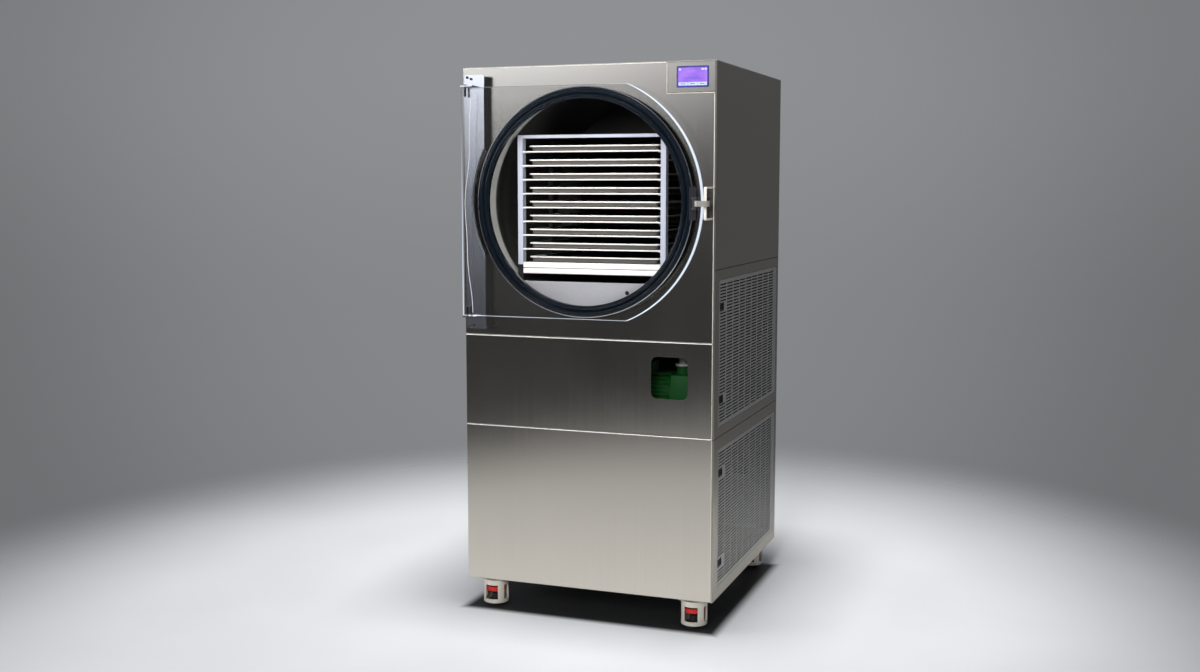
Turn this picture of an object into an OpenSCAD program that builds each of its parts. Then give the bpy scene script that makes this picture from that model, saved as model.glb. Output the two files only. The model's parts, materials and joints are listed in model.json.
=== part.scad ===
/* [Cabinet] */
// Width of the cabinet across its front
cab_w = 845; // [700:5:1020]
// Depth of the cabinet from its front face to its back face
cab_d = 856; // [710:2:1030]
// Height of the cabinet above its base
cab_h = 1680; // [1400:5:2020]
// Height of the casters under the cabinet
stand_h = 100; // [96:1:120]
// Thickness of the folded sheet panels
sheet = 1.5; // [1.3:0.1:2]
// Depth to which the panel edges are folded back
fold_d = 15; // [14.5:0.5:20]
// Height of the lower front panel
lower_h = 522; // [436:2:626]
// Height of the middle front panel
middle_h = 298; // [250:2:358]
// Width of the seams between the panels
seam = 2; // [1:0.2:4]
// Width of the right side panel's edge that shows from the front
strip_w = 5.5; // [4:0.5:7]
// Size of the bevel along the front panels' edges
bevel = 1.2; // [0.6:0.1:1.2]

/* [Frame] */
// Width of the square frame tube
tube = 40; // [34:1:48]
// Wall of the frame tube
tube_t = 2.5; // [2:0.1:3]
// Thickness of the base plate
base_t = 4; // [3:0.2:5]
// Thickness of the shelf that carries the pump
shelf_t = 3; // [2.4:0.1:3.6]

/* [Window] */
// Width of the window in the middle panel
win_w = 120; // [100:1:144]
// Height of the window
win_h = 132; // [110:1:158]
// Corner radius of the window
win_r = 20; // [16:0.5:24]
// Distance from the window to the cabinet's right edge
win_edge = 85; // [70:1:102]
// Distance from the lower seam up to the window
win_up = 118; // [98:1:130]

/* [Control panel] */
// Width of the control panel at the top right
fascia_w = 155; // [140:1:170]
// Height of the control panel
fascia_h = 94; // [86:1:102]
// Width of the display
disp_w = 102; // [90:1:116]
// Height of the display
disp_h = 64; // [54:1:72]

/* [Chamber] */
// Inner radius of the round vacuum chamber
drum_r = 345; // [288:1:345]
// Wall of the chamber
drum_t = 4; // [3:0.2:5]
// Distance from the closed end of the chamber to the cabinet's back
drum_back = 156; // [130:1:187]
// Thickness of the insulation wrapped round the chamber
jacket_t = 25; // [20:1:30]
// Distance from the chamber's centre down to the dam's straight edge
dam_drop = 251; // [240:1:262]

/* [Gasket] */
// Inner radius of the door gasket
gasket_in = 323; // [318:0.5:328]
// Outer radius of the door gasket
gasket_out = 360; // [356:0.5:362]
// Distance the gasket stands in front of the panel
gasket_front = 36.2; // [34:0.1:36.2]

/* [Door] */
// Thickness of the clear door
door_t = 25.5; // [22:0.1:30]
// Distance from the panel face to the back of the door
door_gap = 36.5; // [36.5:0.1:40]
// Half of the door's height
door_half = 363; // [361:1:372]
// Radius of the door's rounded side
door_r = 395; // [385:1:400]
// Distance from the cabinet's left edge to the door's straight side
door_left = 17; // [14:0.5:20]
// Size of the small bevel round the door
door_bevel = 1.5; // [1:0.1:2]

/* [Hinge] */
// Distance from the cabinet's left edge to the hinge pins
pin_x = 30; // [30:0.5:32]
// Radius of the hinge pins
pin_r = 4; // [3.4:0.1:4.8]
// Width of the hinge bracket
brk_w = 69; // [60:1:80]
// Thickness of the hinge bracket
brk_t = 3; // [2.5:0.1:3.2]
// Distance from the panel face to the front of the bracket
brk_out = 33.5; // [32:0.1:33.5]

/* [Latch] */
// Height of the strike loop
strike_h = 101; // [84:1:121]
// Distance the strike loop stands in front of the panel
strike_out = 66; // [62.5:0.5:67]
// Width of the strike loop's bar
strike_w = 8.5; // [7:0.1:10]
// Thickness of the strike loop's bar
strike_t = 6; // [5:0.1:7]
// Angle from closed to the hook's resting place
hook_rest = 38; // [36:0.5:46]
// Thickness of the hook
hook_t = 6; // [5:0.1:7]

/* [Rack] */
// Width of the tray rack
rack_w = 501; // [440:1:505]
// Depth of the front and back clearance of the rack in the chamber
rack_gap = 50; // [40:1:60]
// Number of heated shelves
shelf_n = 9; // [7:1:9]
// Distance between two shelves
shelf_pitch = 44.5; // [37:0.1:44.5]
// Width of a tray over its rim
tray_w = 446; // [372:1:450]
// Height of a tray
tray_h = 19; // [16:0.5:23]
// Width of a tray's rim
rim_w = 8; // [6:0.5:9.5]

/* [Vents] */
// Distance between two rows of vent slots
row_pitch = 10; // [9:0.1:12]
// Height of a vent slot
slot_h = 4.5; // [3.5:0.1:5.5]
// Distance between two slots in a row
slot_pitch = 80.8; // [70:0.2:96]
// Length of a vent slot
slot_l = 71; // [60:1:85]
// Height of the lower vent door
low_door_h = 442; // [370:2:460]
// Height of the upper vent door
up_door_h = 461; // [384:1:474]
// Angle from the fan's plane to its blades
blade_tilt = 25; // [20:1:30]

/* [Casters] */
// Distance from the cabinet's side to a caster's centre
caster_x = 75; // [64:1:90]
// Distance from the cabinet's front or back to a caster's centre
caster_y = 57; // [52:1:68]
// Radius of a caster's wheel
wheel_r = 24; // [22:0.5:24.5]
// Radius of a caster's levelling pad
pad_r = 26.5; // [24:0.5:26.5]

/* [Hidden] */
$fn = 96;
fit = 0.2;
over = 1;
// Cabinet
frame_in = fold_d + fit;
top_t = 2;
pan_top = cab_h - top_t - fit;
seam_1 = lower_h + middle_h;
upper_h = cab_h - seam_1;
front_right = cab_w - strip_w - fit - 0.1;
cx = cab_w / 2;
cz = seam_1 + upper_h / 2;
side_split = seam_1 + 226;
low_split = lower_h - 3;
// The chamber, its rack and its door shrink together where the cabinet leaves less room
drum_ref = 345;
size_k = drum_r / drum_ref;
fit_k = min(size_k, (cab_w / 2 - 27.5) / door_r, upper_h / 2 / (door_half + 60));
drum_in = drum_ref * fit_k;
drum_out = drum_in + drum_t;
drum_end = cab_d - drum_back;
drum_rim = -22;
end_t = 12;
jacket_r = drum_out + jacket_t;
saddle_top = cz - 0.55 * jacket_r;
rail_top = saddle_top + 8;
post_lo = base_t + fit;
post_hi = pan_top - sheet - fit;
shelf_z = lower_h + tube / 2 + fit;
shelf_up = shelf_z + shelf_t;
// Door and latch
door_x = cx + door_r * fit_k;
door_hz = door_half * fit_k;
door_y0 = -door_gap - door_t;
door_y1 = -door_gap;
pin_y = -door_gap - door_t / 2;
pin_in = 28;
pin_clear = 0.08;
ear_gap = 3;
ear_t = 3.5;
brk_x = 20;
brk_up = 404 * fit_k;
brk_dn = 408 * fit_k;
brk_lo = max(cz - brk_dn, cz - door_hz - 45);
brk_hi = max(cz + brk_up, cz + door_hz + 40);
brk_arc = gasket_out * fit_k + 18;
strike_x = door_x + 12;
hook_x = door_x - 12;
hook_y = -strike_out - 8;
hook_ri = 33;
latch_y = door_y0 - 3 - 2 * fit;
hook_ro = hook_ri + hook_t;
hook_lead = 6;
hook_tail = 48;
hook_half = 8.5;
hub_r = 7;
hook_pin_r = 3;
base_half = 18.5;
front_reach = -hook_y + hook_ro * sin(hook_rest + hook_lead);
rear_reach = 75;
front_y = (front_reach - cab_d - rear_reach) / 2;
// Rack, seen from the chamber's centre
post_w = 17;
post_d = 28;
post_t = 3;
rack_y0 = rack_gap;
rack_y1 = drum_end - rack_gap;
rack_top = 214.5;
rack_plate = 10;
rack_foot = -200;
first_shelf = 163;
shelf_plate = 3;
shelf_fold = 36;
tray_t = 1.2;
tray_in = 20;
tray_r = 20;
// Vent doors
vd_y0 = 53;
vd_y1 = cab_d - 25;
vd_d = 10;
vd_gap = 1;
vd_rear = 3.5;
vd_pin_r = 2.5;
vd_pin_in = 6;
low_z0 = 38;
low_z1 = low_z0 + low_door_h;
up_z0 = lower_h + 29;
up_z1 = up_z0 + up_door_h;
slot_y0 = 62;
slot_z0 = 14;
slide_y = 81.5;
slide_w = 49;
slide_h = 28;
slide_d = 10.4;
slide_in = 34;
slide_travel = 10;
// Bay contents
pipe_x = cx + 0.8 * drum_out;
pump_y = 150;
pump_z = shelf_up + 95;
pump_r = 62;
fan_x = min(320, cx - 100);
fan_z = 262;
fan_r = 165;
cond_y = cab_d - 216;
comp_x = 230;
comp_y = 400;
comp_r = 85;
line_x = cx + 0.8 * jacket_r;
line_r = 16;
line_y = [for (k = [0.6, 0.714, 0.843]) k * drum_end];
saddle_y = [100, 0.886 * drum_end];
round_fit = 0.5;
screw_at = [[pin_x, brk_hi - 8], [pin_x + 14, brk_hi - 13], [pin_x + 1, brk_lo + 9],
    [pin_x + 16, brk_lo + 10]];
drain_y = drum_end - 40;
drain_r = 11;
drain_z = seam_1 - 60;
valve_y = cab_d + 24;
inlet_x = cab_w - 125;
inlet_z = 250;
switch_z = 300;
// Casters, seen from the floor under a caster's centre
cplate = 88;
cplate_t = 5;
neck_r = 24;
neck_t = 5;
king_r = 8;
shell_r = 42;
shell_t = 6;
shell_lo = 12;
shell_top = 12;
shell_hi = stand_h - cplate_t - neck_t - fit;
wheel_y = 52;
wheel_z = wheel_r + 3;
wheel_half = 10.5;
axle_r = 4;
cheek_t = 6;
nut_lo = 50;
nut_hi = 64;
nut_r = 33;
stem_r = 6;
stem_top = 68;
pad_t = 10;
bolt_r = 4;
bolt_at = 30;
disp_x = cab_w - 76;
disp_z = cab_h - 48;
disp_rim = 2.5;
port_y = 150;
port_r = 24;
port_l = 16;
hose_r = 15;
dam_y = 6;
dam_t = 4;
low_slides = [low_z0 + 72, low_z1 - 78];
up_slides = [up_z0 + 85, up_z1 - 84];

// Everything is drawn from the cabinet's front left bottom corner and moved to the part's origin here
module at_cabinet() {
    translate([-cab_w / 2, front_y, stand_h])
        children();
}

module block(x0, x1, y0, y1, z0, z1) {
    translate([x0, y0, z0])
        cube([x1 - x0, y1 - y0, z1 - z0]);
}

module rod_x(y, z, x0, x1, r) {
    translate([x0, y, z])
        rotate([0, 90, 0])
            cylinder(h = x1 - x0, r = r);
}

module rod_y(x, z, y0, y1, r) {
    translate([x, y0, z])
        rotate([-90, 0, 0])
            cylinder(h = y1 - y0, r = r);
}

module rod_z(x, y, z0, z1, r) {
    translate([x, y, z0])
        cylinder(h = z1 - z0, r = r);
}

// A drawing in x and z, pulled along y
module pull_y(y0, y1) {
    translate([0, y1, 0])
        rotate([90, 0, 0])
            linear_extrude(y1 - y0)
                children();
}

// A drawing in y and z, pulled along x
module pull_x(x0, x1) {
    translate([x0, 0, 0])
        rotate([90, 0, 90])
            linear_extrude(x1 - x0)
                children();
}

// A drawing of radius and depth, turned about the chamber's axis
module turn_drum() {
    translate([cx, 0, cz])
        rotate([-90, 0, 0])
            rotate_extrude()
                children();
}

module round_box(x0, x1, y0, y1, r) {
    translate([x0 + r, y0])
        square([x1 - x0 - 2 * r, y1 - y0]);
    translate([x0, y0 + r])
        square([x1 - x0, y1 - y0 - 2 * r]);
    for (x = [x0 + r, x1 - r])
        for (y = [y0 + r, y1 - r])
            translate([x, y])
                circle(r);
}

// A ring-shaped quarter bend of tube in the plane of x and z
module bend(r_bend, r_tube, turn) {
    rotate([90, 0, 0])
        rotate_extrude(angle = turn)
            translate([r_bend, 0])
                circle(r_tube);
}

// Frame

module tube_x(x0, x1, y, z) {
    difference() {
        block(x0, x1, y, y + tube, z, z + tube);
        block(x0 - over, x1 + over, y + tube_t, y + tube - tube_t, z + tube_t, z + tube - tube_t);
    }
}

module tube_y(y0, y1, x, z) {
    difference() {
        block(x, x + tube, y0, y1, z, z + tube);
        block(x + tube_t, x + tube - tube_t, y0 - over, y1 + over, z + tube_t, z + tube - tube_t);
    }
}

module cabinet_frame() {
    x0 = frame_in;
    x1 = cab_w - frame_in - tube;
    y0 = frame_in;
    y1 = cab_d - frame_in - tube;
    color([0.62, 0.64, 0.66])
        at_cabinet() {
            for (x = [x0, x1])
                for (y = [y0, y1])
                    difference() {
                        block(x, x + tube, y, y + tube, post_lo, post_hi);
                        block(x + tube_t, x + tube - tube_t, y + tube_t, y + tube - tube_t,
                            post_lo - over, post_hi + over);
                    }
            for (z = [post_lo, lower_h - tube / 2, seam_1 - tube / 2, post_hi - tube])
                for (y = [y0, y1])
                    tube_x(x0 + tube + fit, x1 - fit, y, z);
            for (z = [post_lo, lower_h - tube / 2, rail_top - tube, post_hi - tube])
                for (x = [x0, x1])
                    tube_y(y0 + tube + fit, y1 - fit, x, z);
        }
}

module base_plate() {
            difference() {
                block(frame_in, cab_w - frame_in, frame_in, cab_d - frame_in, 0, base_t);
                for (x = [caster_x, cab_w - caster_x])
                    for (y = [caster_y, cab_d - caster_y])
                        for (i = [-bolt_at, bolt_at])
                            for (j = [-bolt_at, bolt_at])
                                rod_z(x + i, y + j, -over, base_t + over, bolt_r + fit);
            }
}

module mid_shelf() {
            difference() {
                block(frame_in + fit, cab_w - frame_in - fit, frame_in + fit, cab_d - frame_in - fit,
                    shelf_z, shelf_up);
                for (x = [0, cab_w - frame_in - tube - fit])
                    for (y = [0, cab_d - frame_in - tube - fit])
                        block(x, x + frame_in + tube + fit, y, y + frame_in + tube + fit,
                            shelf_z - over, shelf_up + over);
                for (y = line_y)
                    rod_z(line_x, y, shelf_z - over, shelf_up + over, line_r + over);
            }
}

module top_cover() {
    color([0.74, 0.75, 0.76])
        at_cabinet()
            block(0, cab_w, 0, cab_d, cab_h - top_t, cab_h);
}

// Side panels

module left_pan(z0, z1) {
    difference() {
        block(0, fold_d, frame_in, cab_d - frame_in, z0, z1);
        block(sheet, fold_d + over, frame_in + sheet, cab_d - frame_in - sheet, z0 + sheet, z1 - sheet);
    }
}

// Rows of long slots in y and z, left whole where the first slot of a row would meet a latch
module slot_rows(z0, z1, skip) {
    rows = floor((z1 - z0 - 2 * slot_z0) / row_pitch);
    cols = floor((vd_y1 - slot_y0 - slot_z0) / slot_pitch);
    for (i = [0 : rows])
        for (j = [0 : cols - 1])
            let (z = z0 + slot_z0 + i * row_pitch)
                if (j > 0 || len([for (s = skip) if (abs(z + slot_h / 2 - s) < slide_h / 2 + slot_h) s]) < 1)
                    translate([slot_y0 + j * slot_pitch, z])
                        square([slot_l, slot_h]);
}

module left_panels() {
    color([0.7, 0.71, 0.72])
        at_cabinet() {
            left_pan(side_split + seam / 2, pan_top);
            difference() {
                left_pan(0, side_split - seam / 2);
                block(-over, sheet, slot_y0 - slot_z0, vd_y1 - over, low_z0, low_z1);
            }
            pull_x(0, sheet)
                difference() {
                    translate([slot_y0 - slot_z0, low_z0])
                        square([vd_y1 - over - slot_y0 + slot_z0, low_z1 - low_z0]);
                    slot_rows(low_z0, low_z1, []);
                }
        }
}

module right_pan(z0, z1) {
    x = cab_w - fold_d;
    difference() {
        block(x, cab_w, 0, cab_d - frame_in, z0, z1);
        block(x - over, cab_w - sheet, sheet, cab_d - frame_in - sheet, z0 + sheet, z1 - sheet);
        block(x - over, cab_w - strip_w, -over, frame_in, z0 - over, z1 + over);
    }
}

// The panel round a vent door, with a folded edge round the opening
module right_surround(z0, z1, d0, d1, slides) {
    x = cab_w - fold_d + 3;
    difference() {
        union() {
            right_pan(z0, z1);
            block(x, cab_w - sheet / 2, vd_y0 - vd_gap - sheet, vd_y1 + vd_rear + sheet,
                d0 - vd_gap - sheet, d1 + vd_gap + sheet);
        }
        block(x - over, cab_w + over, vd_y0 - vd_gap, vd_y1 + vd_rear, d0 - vd_gap, d1 + vd_gap);
        for (z = slides)
            block(x - over, cab_w - sheet, frame_in + tube / 2, vd_y0, z - slide_h / 4, z + slide_h / 4);
        rod_z(cab_w - vd_pin_in, vd_y1 - vd_pin_in, d0 - slot_z0 / 2, d1 + slot_z0 / 2, vd_pin_r + 0.1);
    }
}

module right_panels() {
    color([0.68, 0.69, 0.7])
        at_cabinet() {
            right_pan(side_split + seam / 2, pan_top);
            right_surround(low_split + seam / 2, side_split - seam / 2, up_z0, up_z1, up_slides);
            right_surround(0, low_split - seam / 2, low_z0, low_z1, low_slides);
        }
}

module back_panel() {
    y0 = cab_d - fold_d;
    color([0.68, 0.69, 0.7])
        at_cabinet()
            difference() {
                block(0, cab_w, y0, cab_d, 0, pan_top);
                block(sheet, cab_w - sheet, y0 - over, cab_d - sheet, sheet, pan_top - sheet);
                for (i = [-14 : 14])
                    let (h = fan_r * cos(asin(i / 15)))
                        block(fan_x - h, fan_x + h, y0, cab_d + over, fan_z + i * 11 - 3, fan_z + i * 11 + 3);
                rod_y(cx, drain_z, y0, cab_d + over, drain_r + over);
                block(inlet_x - 25, inlet_x + 25, y0, cab_d + over, inlet_z - 14, inlet_z + 14);
                block(inlet_x - 15, inlet_x + 15, y0, cab_d + over, switch_z - 16, switch_z + 16);
            }
}

// Front panels

module front_pan(x0, x1, z0, z1) {
    difference() {
        pull_x(x0, x1)
            polygon([[0, z0 + bevel], [bevel, z0], [fold_d, z0], [fold_d, z1], [bevel, z1], [0, z1 - bevel]]);
        block(x0 + sheet, x1 - sheet, sheet, fold_d + over, z0 + sheet, z1 - sheet);
    }
}

module upper_front_panel() {
    color([0.74, 0.75, 0.76])
        at_cabinet()
            difference() {
                front_pan(0, front_right, seam_1 + seam / 2, pan_top);
                rod_y(cx, cz, -over, fold_d + over, drum_out + round_fit);
                block(cab_w - fascia_w - seam, cab_w, -over, fold_d + over, cab_h - fascia_h - seam, cab_h);
            }
}

module middle_front_panel() {
    color([0.74, 0.75, 0.76])
        at_cabinet()
            difference() {
                front_pan(0, front_right, lower_h + seam / 2, seam_1 - seam / 2);
                pull_y(-over, fold_d + over)
                    round_box(cab_w - win_edge - win_w, cab_w - win_edge, lower_h + win_up,
                        lower_h + win_up + win_h, win_r);
            }
}

module lower_front_panel() {
    color([0.74, 0.75, 0.76])
        at_cabinet()
            front_pan(0, front_right, 0, lower_h - seam / 2);
}

module control_fascia() {
    color([0.74, 0.75, 0.76])
        at_cabinet()
            difference() {
                front_pan(cab_w - fascia_w, front_right, cab_h - fascia_h, pan_top);
                block(disp_x - disp_w / 2 + disp_rim, disp_x + disp_w / 2 - disp_rim, -over, fold_d,
                    disp_z - disp_h / 2 + disp_rim, disp_z + disp_h / 2 - disp_rim);
            }
}

module display_screen() {
    w = disp_w / 2;
    h = disp_h / 2;
    color([0.25, 0.2, 0.75])
        at_cabinet() {
            pull_y(-over, 0)
                round_box(disp_x - w, disp_x + w, disp_z - h, disp_z + h, disp_rim);
            block(disp_x - w + disp_rim + fit, disp_x + w - disp_rim - fit, -fit, fold_d - over,
                disp_z - h + disp_rim + fit, disp_z + h - disp_rim - fit);
        }
}

// Chamber

module at_port() {
    translate([cx, port_y, cz])
        rotate([0, 135, 0])
            children();
}

module chamber() {
    color([0.72, 0.74, 0.76])
        at_cabinet()
            difference() {
                union() {
                    turn_drum()
                        polygon([[drum_in, drum_rim], [drum_out, drum_rim], [drum_out, drum_end],
                            [0, drum_end], [0, drum_end - end_t], [drum_in, drum_end - end_t]]);
                    intersection() {
                        block(0, cab_w, dam_y, dam_y + dam_t, cz - drum_out, cz - dam_drop * fit_k);
                        rod_y(cx, cz, dam_y, dam_y + dam_t, drum_in + 0.5);
                    }
                    at_port()
                        rod_z(0, 0, drum_in + 1, drum_out + port_l, port_r);
                    rod_z(cx, drain_y, cz - drum_out - port_l, cz - drum_in - 2, drain_r + 3);
                }
                at_port()
                    rod_z(0, 0, drum_in - 9, drum_out + port_l + over, hose_r - 3);
                rod_z(cx, drain_y, cz - drum_out - port_l - over, cz - drum_in + 9, drain_r - 3);
                rod_y(cx + 138 * fit_k, cz - 281 * fit_k, dam_y - over, dam_y + dam_t + over, 5);
            }
}

module insulation_jacket() {
    color([0.12, 0.12, 0.13])
        at_cabinet()
            difference() {
                turn_drum()
                    translate([drum_out + round_fit, 4 * fold_d])
                        square([jacket_t - round_fit, drum_end - 5 * fold_d]);
                at_port()
                    rod_z(0, 0, drum_in, jacket_r + port_l, port_r + 1);
                rod_z(cx, drain_y, cz - jacket_r - port_l, cz - drum_in, drain_r + 4);
            }
}

module chamber_saddles() {
            for (y = saddle_y)
                difference() {
                    block(frame_in + tube + fit, cab_w - frame_in - tube - fit, y, y + 6,
                        cz - jacket_r - fold_d, saddle_top);
                    rod_y(cx, cz, y - over, y + 6 + over, jacket_r + round_fit);
                }
}

module deck_plates() {
    color([0.62, 0.64, 0.66])
        at_cabinet() {
            base_plate();
            mid_shelf();
            chamber_saddles();
        }
}

module door_gasket() {
    r0 = gasket_in * fit_k;
    r1 = gasket_out * fit_k;
    bead = 8;
    rib = 6;
    color([0.06, 0.06, 0.07])
        at_cabinet()
            turn_drum()
                difference() {
                    union() {
                        translate([r0, -28])
                            square([r1 - r0 - 2, 14]);
                        translate([r0 + bead, -gasket_front + bead])
                            circle(bead);
                        translate([(r0 + r1) / 2 + bead - 3, -gasket_front + bead])
                            circle(rib + over);
                        translate([r1 - rib, -24])
                            circle(rib);
                    }
                    translate([drum_in - fit, drum_rim - fit])
                        square([drum_t + 2 * fit, 14]);
                }
}

// Hinge and strike

module hinge_bracket() {
    x1 = brk_x + brk_w;
    color([0.72, 0.73, 0.74])
        at_cabinet()
            difference() {
                union() {
                    pull_y(-brk_out, -brk_out + brk_t)
                        round_box(brk_x, x1, brk_lo, brk_hi, 6);
                    block(brk_x, brk_x + brk_t, -brk_out + over, -fit, brk_lo + 6, brk_hi - 6);
                    block(x1 - brk_t, x1, -brk_out + over, -fit, brk_lo + 6, brk_hi - 6);
                    for (z = [cz + door_hz + ear_gap, cz - door_hz - ear_gap - ear_t])
                        block(brk_x - 2, brk_x + 40, door_y0, -brk_out + over, z, z + ear_t);
                }
                rod_y(cx, cz, -brk_out - over, over, brk_arc);
                for (z = [cz + door_hz + ear_gap - over, cz - door_hz - ear_gap - ear_t - over])
                    rod_z(pin_x, pin_y, z, z + ear_t + 2 * over, pin_r + 0.05);
            }
}

module pins_and_screws() {
    z1 = cz + door_hz;
    z0 = cz - door_hz;
    color([0.2, 0.2, 0.21])
        at_cabinet() {
            rod_z(pin_x, pin_y, z1 - pin_in, z1 + ear_gap + ear_t + fit, pin_r);
            rod_z(pin_x, pin_y, z1 + ear_gap + ear_t + fit, z1 + ear_gap + ear_t + 3, pin_r + 2.5);
            rod_z(pin_x, pin_y, z0 - ear_gap - ear_t - fit, z0 + pin_in, pin_r);
            rod_z(pin_x, pin_y, z0 - ear_gap - ear_t - 3, z0 - ear_gap - ear_t - fit, pin_r + 2.5);
            for (d = [[low_z0, low_z1], [up_z0, up_z1]]) {
                rod_z(cab_w - vd_pin_in, vd_y1 - vd_pin_in, d[0] - vd_gap - 3, d[0] + 7, vd_pin_r);
                rod_z(cab_w - vd_pin_in, vd_y1 - vd_pin_in, d[1] - 7, d[1] + vd_gap + 3, vd_pin_r);
            }
            for (p = screw_at)
                difference() {
                    rod_y(p[0], p[1], -brk_out - 3, -brk_out - 0.1, 4);
                    translate([p[0], -brk_out - 4, p[1]])
                        rotate([-90, 0, 0])
                            cylinder(h = 3, r = 2.2, $fn = 6);
                }
            for (x = [25, cab_w - 25])
                for (z = [40, cab_h / 3, cab_h * 2 / 3, cab_h - 40])
                    rod_y(x, z, cab_d + 0.1, cab_d + 2.4, 4);
        }
}

module strike_loop() {
    h = strike_h / 2;
    color([0.8, 0.81, 0.82])
        at_cabinet()
            pull_x(strike_x - strike_w / 2, strike_x + strike_w / 2)
                difference() {
                    round_box(-strike_out, strike_out, cz - h, cz + h, 9);
                    round_box(-strike_out + strike_t, strike_out - strike_t, cz - h + strike_t,
                        cz + h - strike_t, 4);
                    translate([-fit / 2, cz - strike_h])
                        square([strike_out * 2, strike_h * 2]);
                }
}

module latch_plate() {
    color([0.08, 0.08, 0.09])
        at_cabinet()
            pull_y(door_y0 - 3 - fit, door_y0 - fit)
                round_box(door_x - 38, door_x - 16, cz - strike_h / 2, cz + strike_h / 2, 3);
}

module latch_base() {
    color([0.75, 0.76, 0.77])
        at_cabinet() {
            block(door_x - 27, door_x - 18, latch_y - 4, latch_y, cz - base_half, cz + base_half);
            for (z = [cz - base_half, cz + base_half - 5]) {
                block(door_x - 27, hook_x, hook_y - hub_r, latch_y, z, z + 5);
                rod_z(hook_x, hook_y, z, z + 5, hub_r);
            }
            rod_z(hook_x, hook_y, cz - base_half - 2, cz + base_half + 2, hook_pin_r);
        }
}

module latch_hook() {
    color([0.8, 0.81, 0.82])
        at_cabinet()
            translate([hook_x, hook_y, cz - hook_half])
                difference() {
                    union() {
                        cylinder(h = 2 * hook_half, r = hub_r);
                        rotate([0, 0, -hook_rest])
                            translate([0, -4, 0])
                                cube([hook_ri + over, 8, 2 * hook_half]);
                        rotate([0, 0, -hook_rest - hook_lead])
                            rotate_extrude(angle = hook_lead + hook_tail)
                                translate([hook_ri, 0])
                                    square([hook_t, 2 * hook_half]);
                    }
                    translate([0, 0, -over])
                        cylinder(h = 2 * hook_half + 2 * over, r = hook_pin_r + 0.1);
                }
}

// Rack and trays, in x and z seen from the chamber's centre

module rack_block(x0, x1, y0, y1, z0, z1) {
    block(cx + x0 * fit_k, cx + x1 * fit_k, y0, y1, cz + z0 * fit_k, cz + z1 * fit_k);
}

module rack_frame() {
    w = rack_w / 2;
    ym = (rack_y0 + rack_y1 - post_d) / 2;
    color([0.62, 0.65, 0.7])
        at_cabinet() {
            for (s = [-1, 1])
                for (y = [rack_y0, ym, rack_y1 - post_d])
                    difference() {
                        rack_block(min(s * w, s * (w - post_w)), max(s * w, s * (w - post_w)), y, y + post_d,
                            rack_foot, rack_top - rack_plate + post_t);
                        rack_block(min(s * (w - post_t), s * (w - post_w + post_t)),
                            max(s * (w - post_t), s * (w - post_w + post_t)), y + post_t, y + post_d + over,
                            rack_foot - over, rack_top - rack_plate + over);
                    }
            difference() {
                rack_block(-w, w, rack_y0, rack_y1, rack_top - rack_plate, rack_top);
                rack_block(-w + post_t, w - post_t, rack_y0 + post_t, rack_y1 - post_t,
                    rack_top - rack_plate - over, rack_top - post_t);
            }
            for (s = [-1, 1])
                for (i = [0 : shelf_n - 2])
                    let (z = first_shelf - i * shelf_pitch - shelf_plate, a = w - post_w + 2, b = a - 10)
                        rack_block(min(s * a, s * b), max(s * a, s * b), rack_y0 + post_t, rack_y1 - post_t,
                            z - 3, z - fit);
        }
}

module rack_shelves() {
    w = rack_w / 2 - post_w - 0.3;
    last = first_shelf - (shelf_n - 1) * shelf_pitch;
    color([0.78, 0.76, 0.73])
        at_cabinet() {
            for (i = [0 : shelf_n - 2])
                let (z = first_shelf - i * shelf_pitch)
                    rack_block(-w, w, rack_y0 + 2, rack_y1 - 2, z - shelf_plate, z);
            difference() {
                rack_block(-w, w, rack_y0, rack_y1, last - shelf_fold, last);
                rack_block(-w + post_t, w - post_t, rack_y0 + post_t, rack_y1 - post_t,
                    last - shelf_fold - over, last - shelf_plate);
                rack_block(-w - over, w + over, rack_y0 - over, rack_y0 + 0.8, last - 19, last - 17);
            }
        }
}

module rack_runners() {
    w0 = rack_w / 2 - post_w + 0.3;
    w1 = rack_w / 2 + 3;
    color([0.07, 0.07, 0.08])
        at_cabinet()
            for (s = [-1, 1])
                intersection() {
                    rack_block(min(s * w0, s * w1), max(s * w0, s * w1), rack_y0 + 4, rack_y1 - 4,
                        -drum_ref, rack_foot - fit);
                    rod_y(cx, cz, rack_y0, rack_y1, drum_in - round_fit);
                }
}

module tray_outline(grow, r) {
    w = (tray_w / 2 + grow) * fit_k;
    round_box(cx - w, cx + w, rack_y0 + tray_in - grow, rack_y1 - tray_in + grow, r);
}

module trays() {
    h = tray_h * fit_k;
    color([0.8, 0.79, 0.77])
        at_cabinet()
            for (i = [0 : shelf_n - 1])
                translate([0, 0, cz + (first_shelf - i * shelf_pitch) * fit_k + 0.1])
                    difference() {
                        union() {
                            linear_extrude(h)
                                tray_outline(-rim_w, tray_r - rim_w);
                            translate([0, 0, h - tray_t])
                                linear_extrude(tray_t)
                                    tray_outline(0, tray_r);
                        }
                        translate([0, 0, tray_t])
                            linear_extrude(h)
                                tray_outline(-rim_w - tray_t, tray_r - rim_w - tray_t);
                    }
}

// Bay contents

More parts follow.
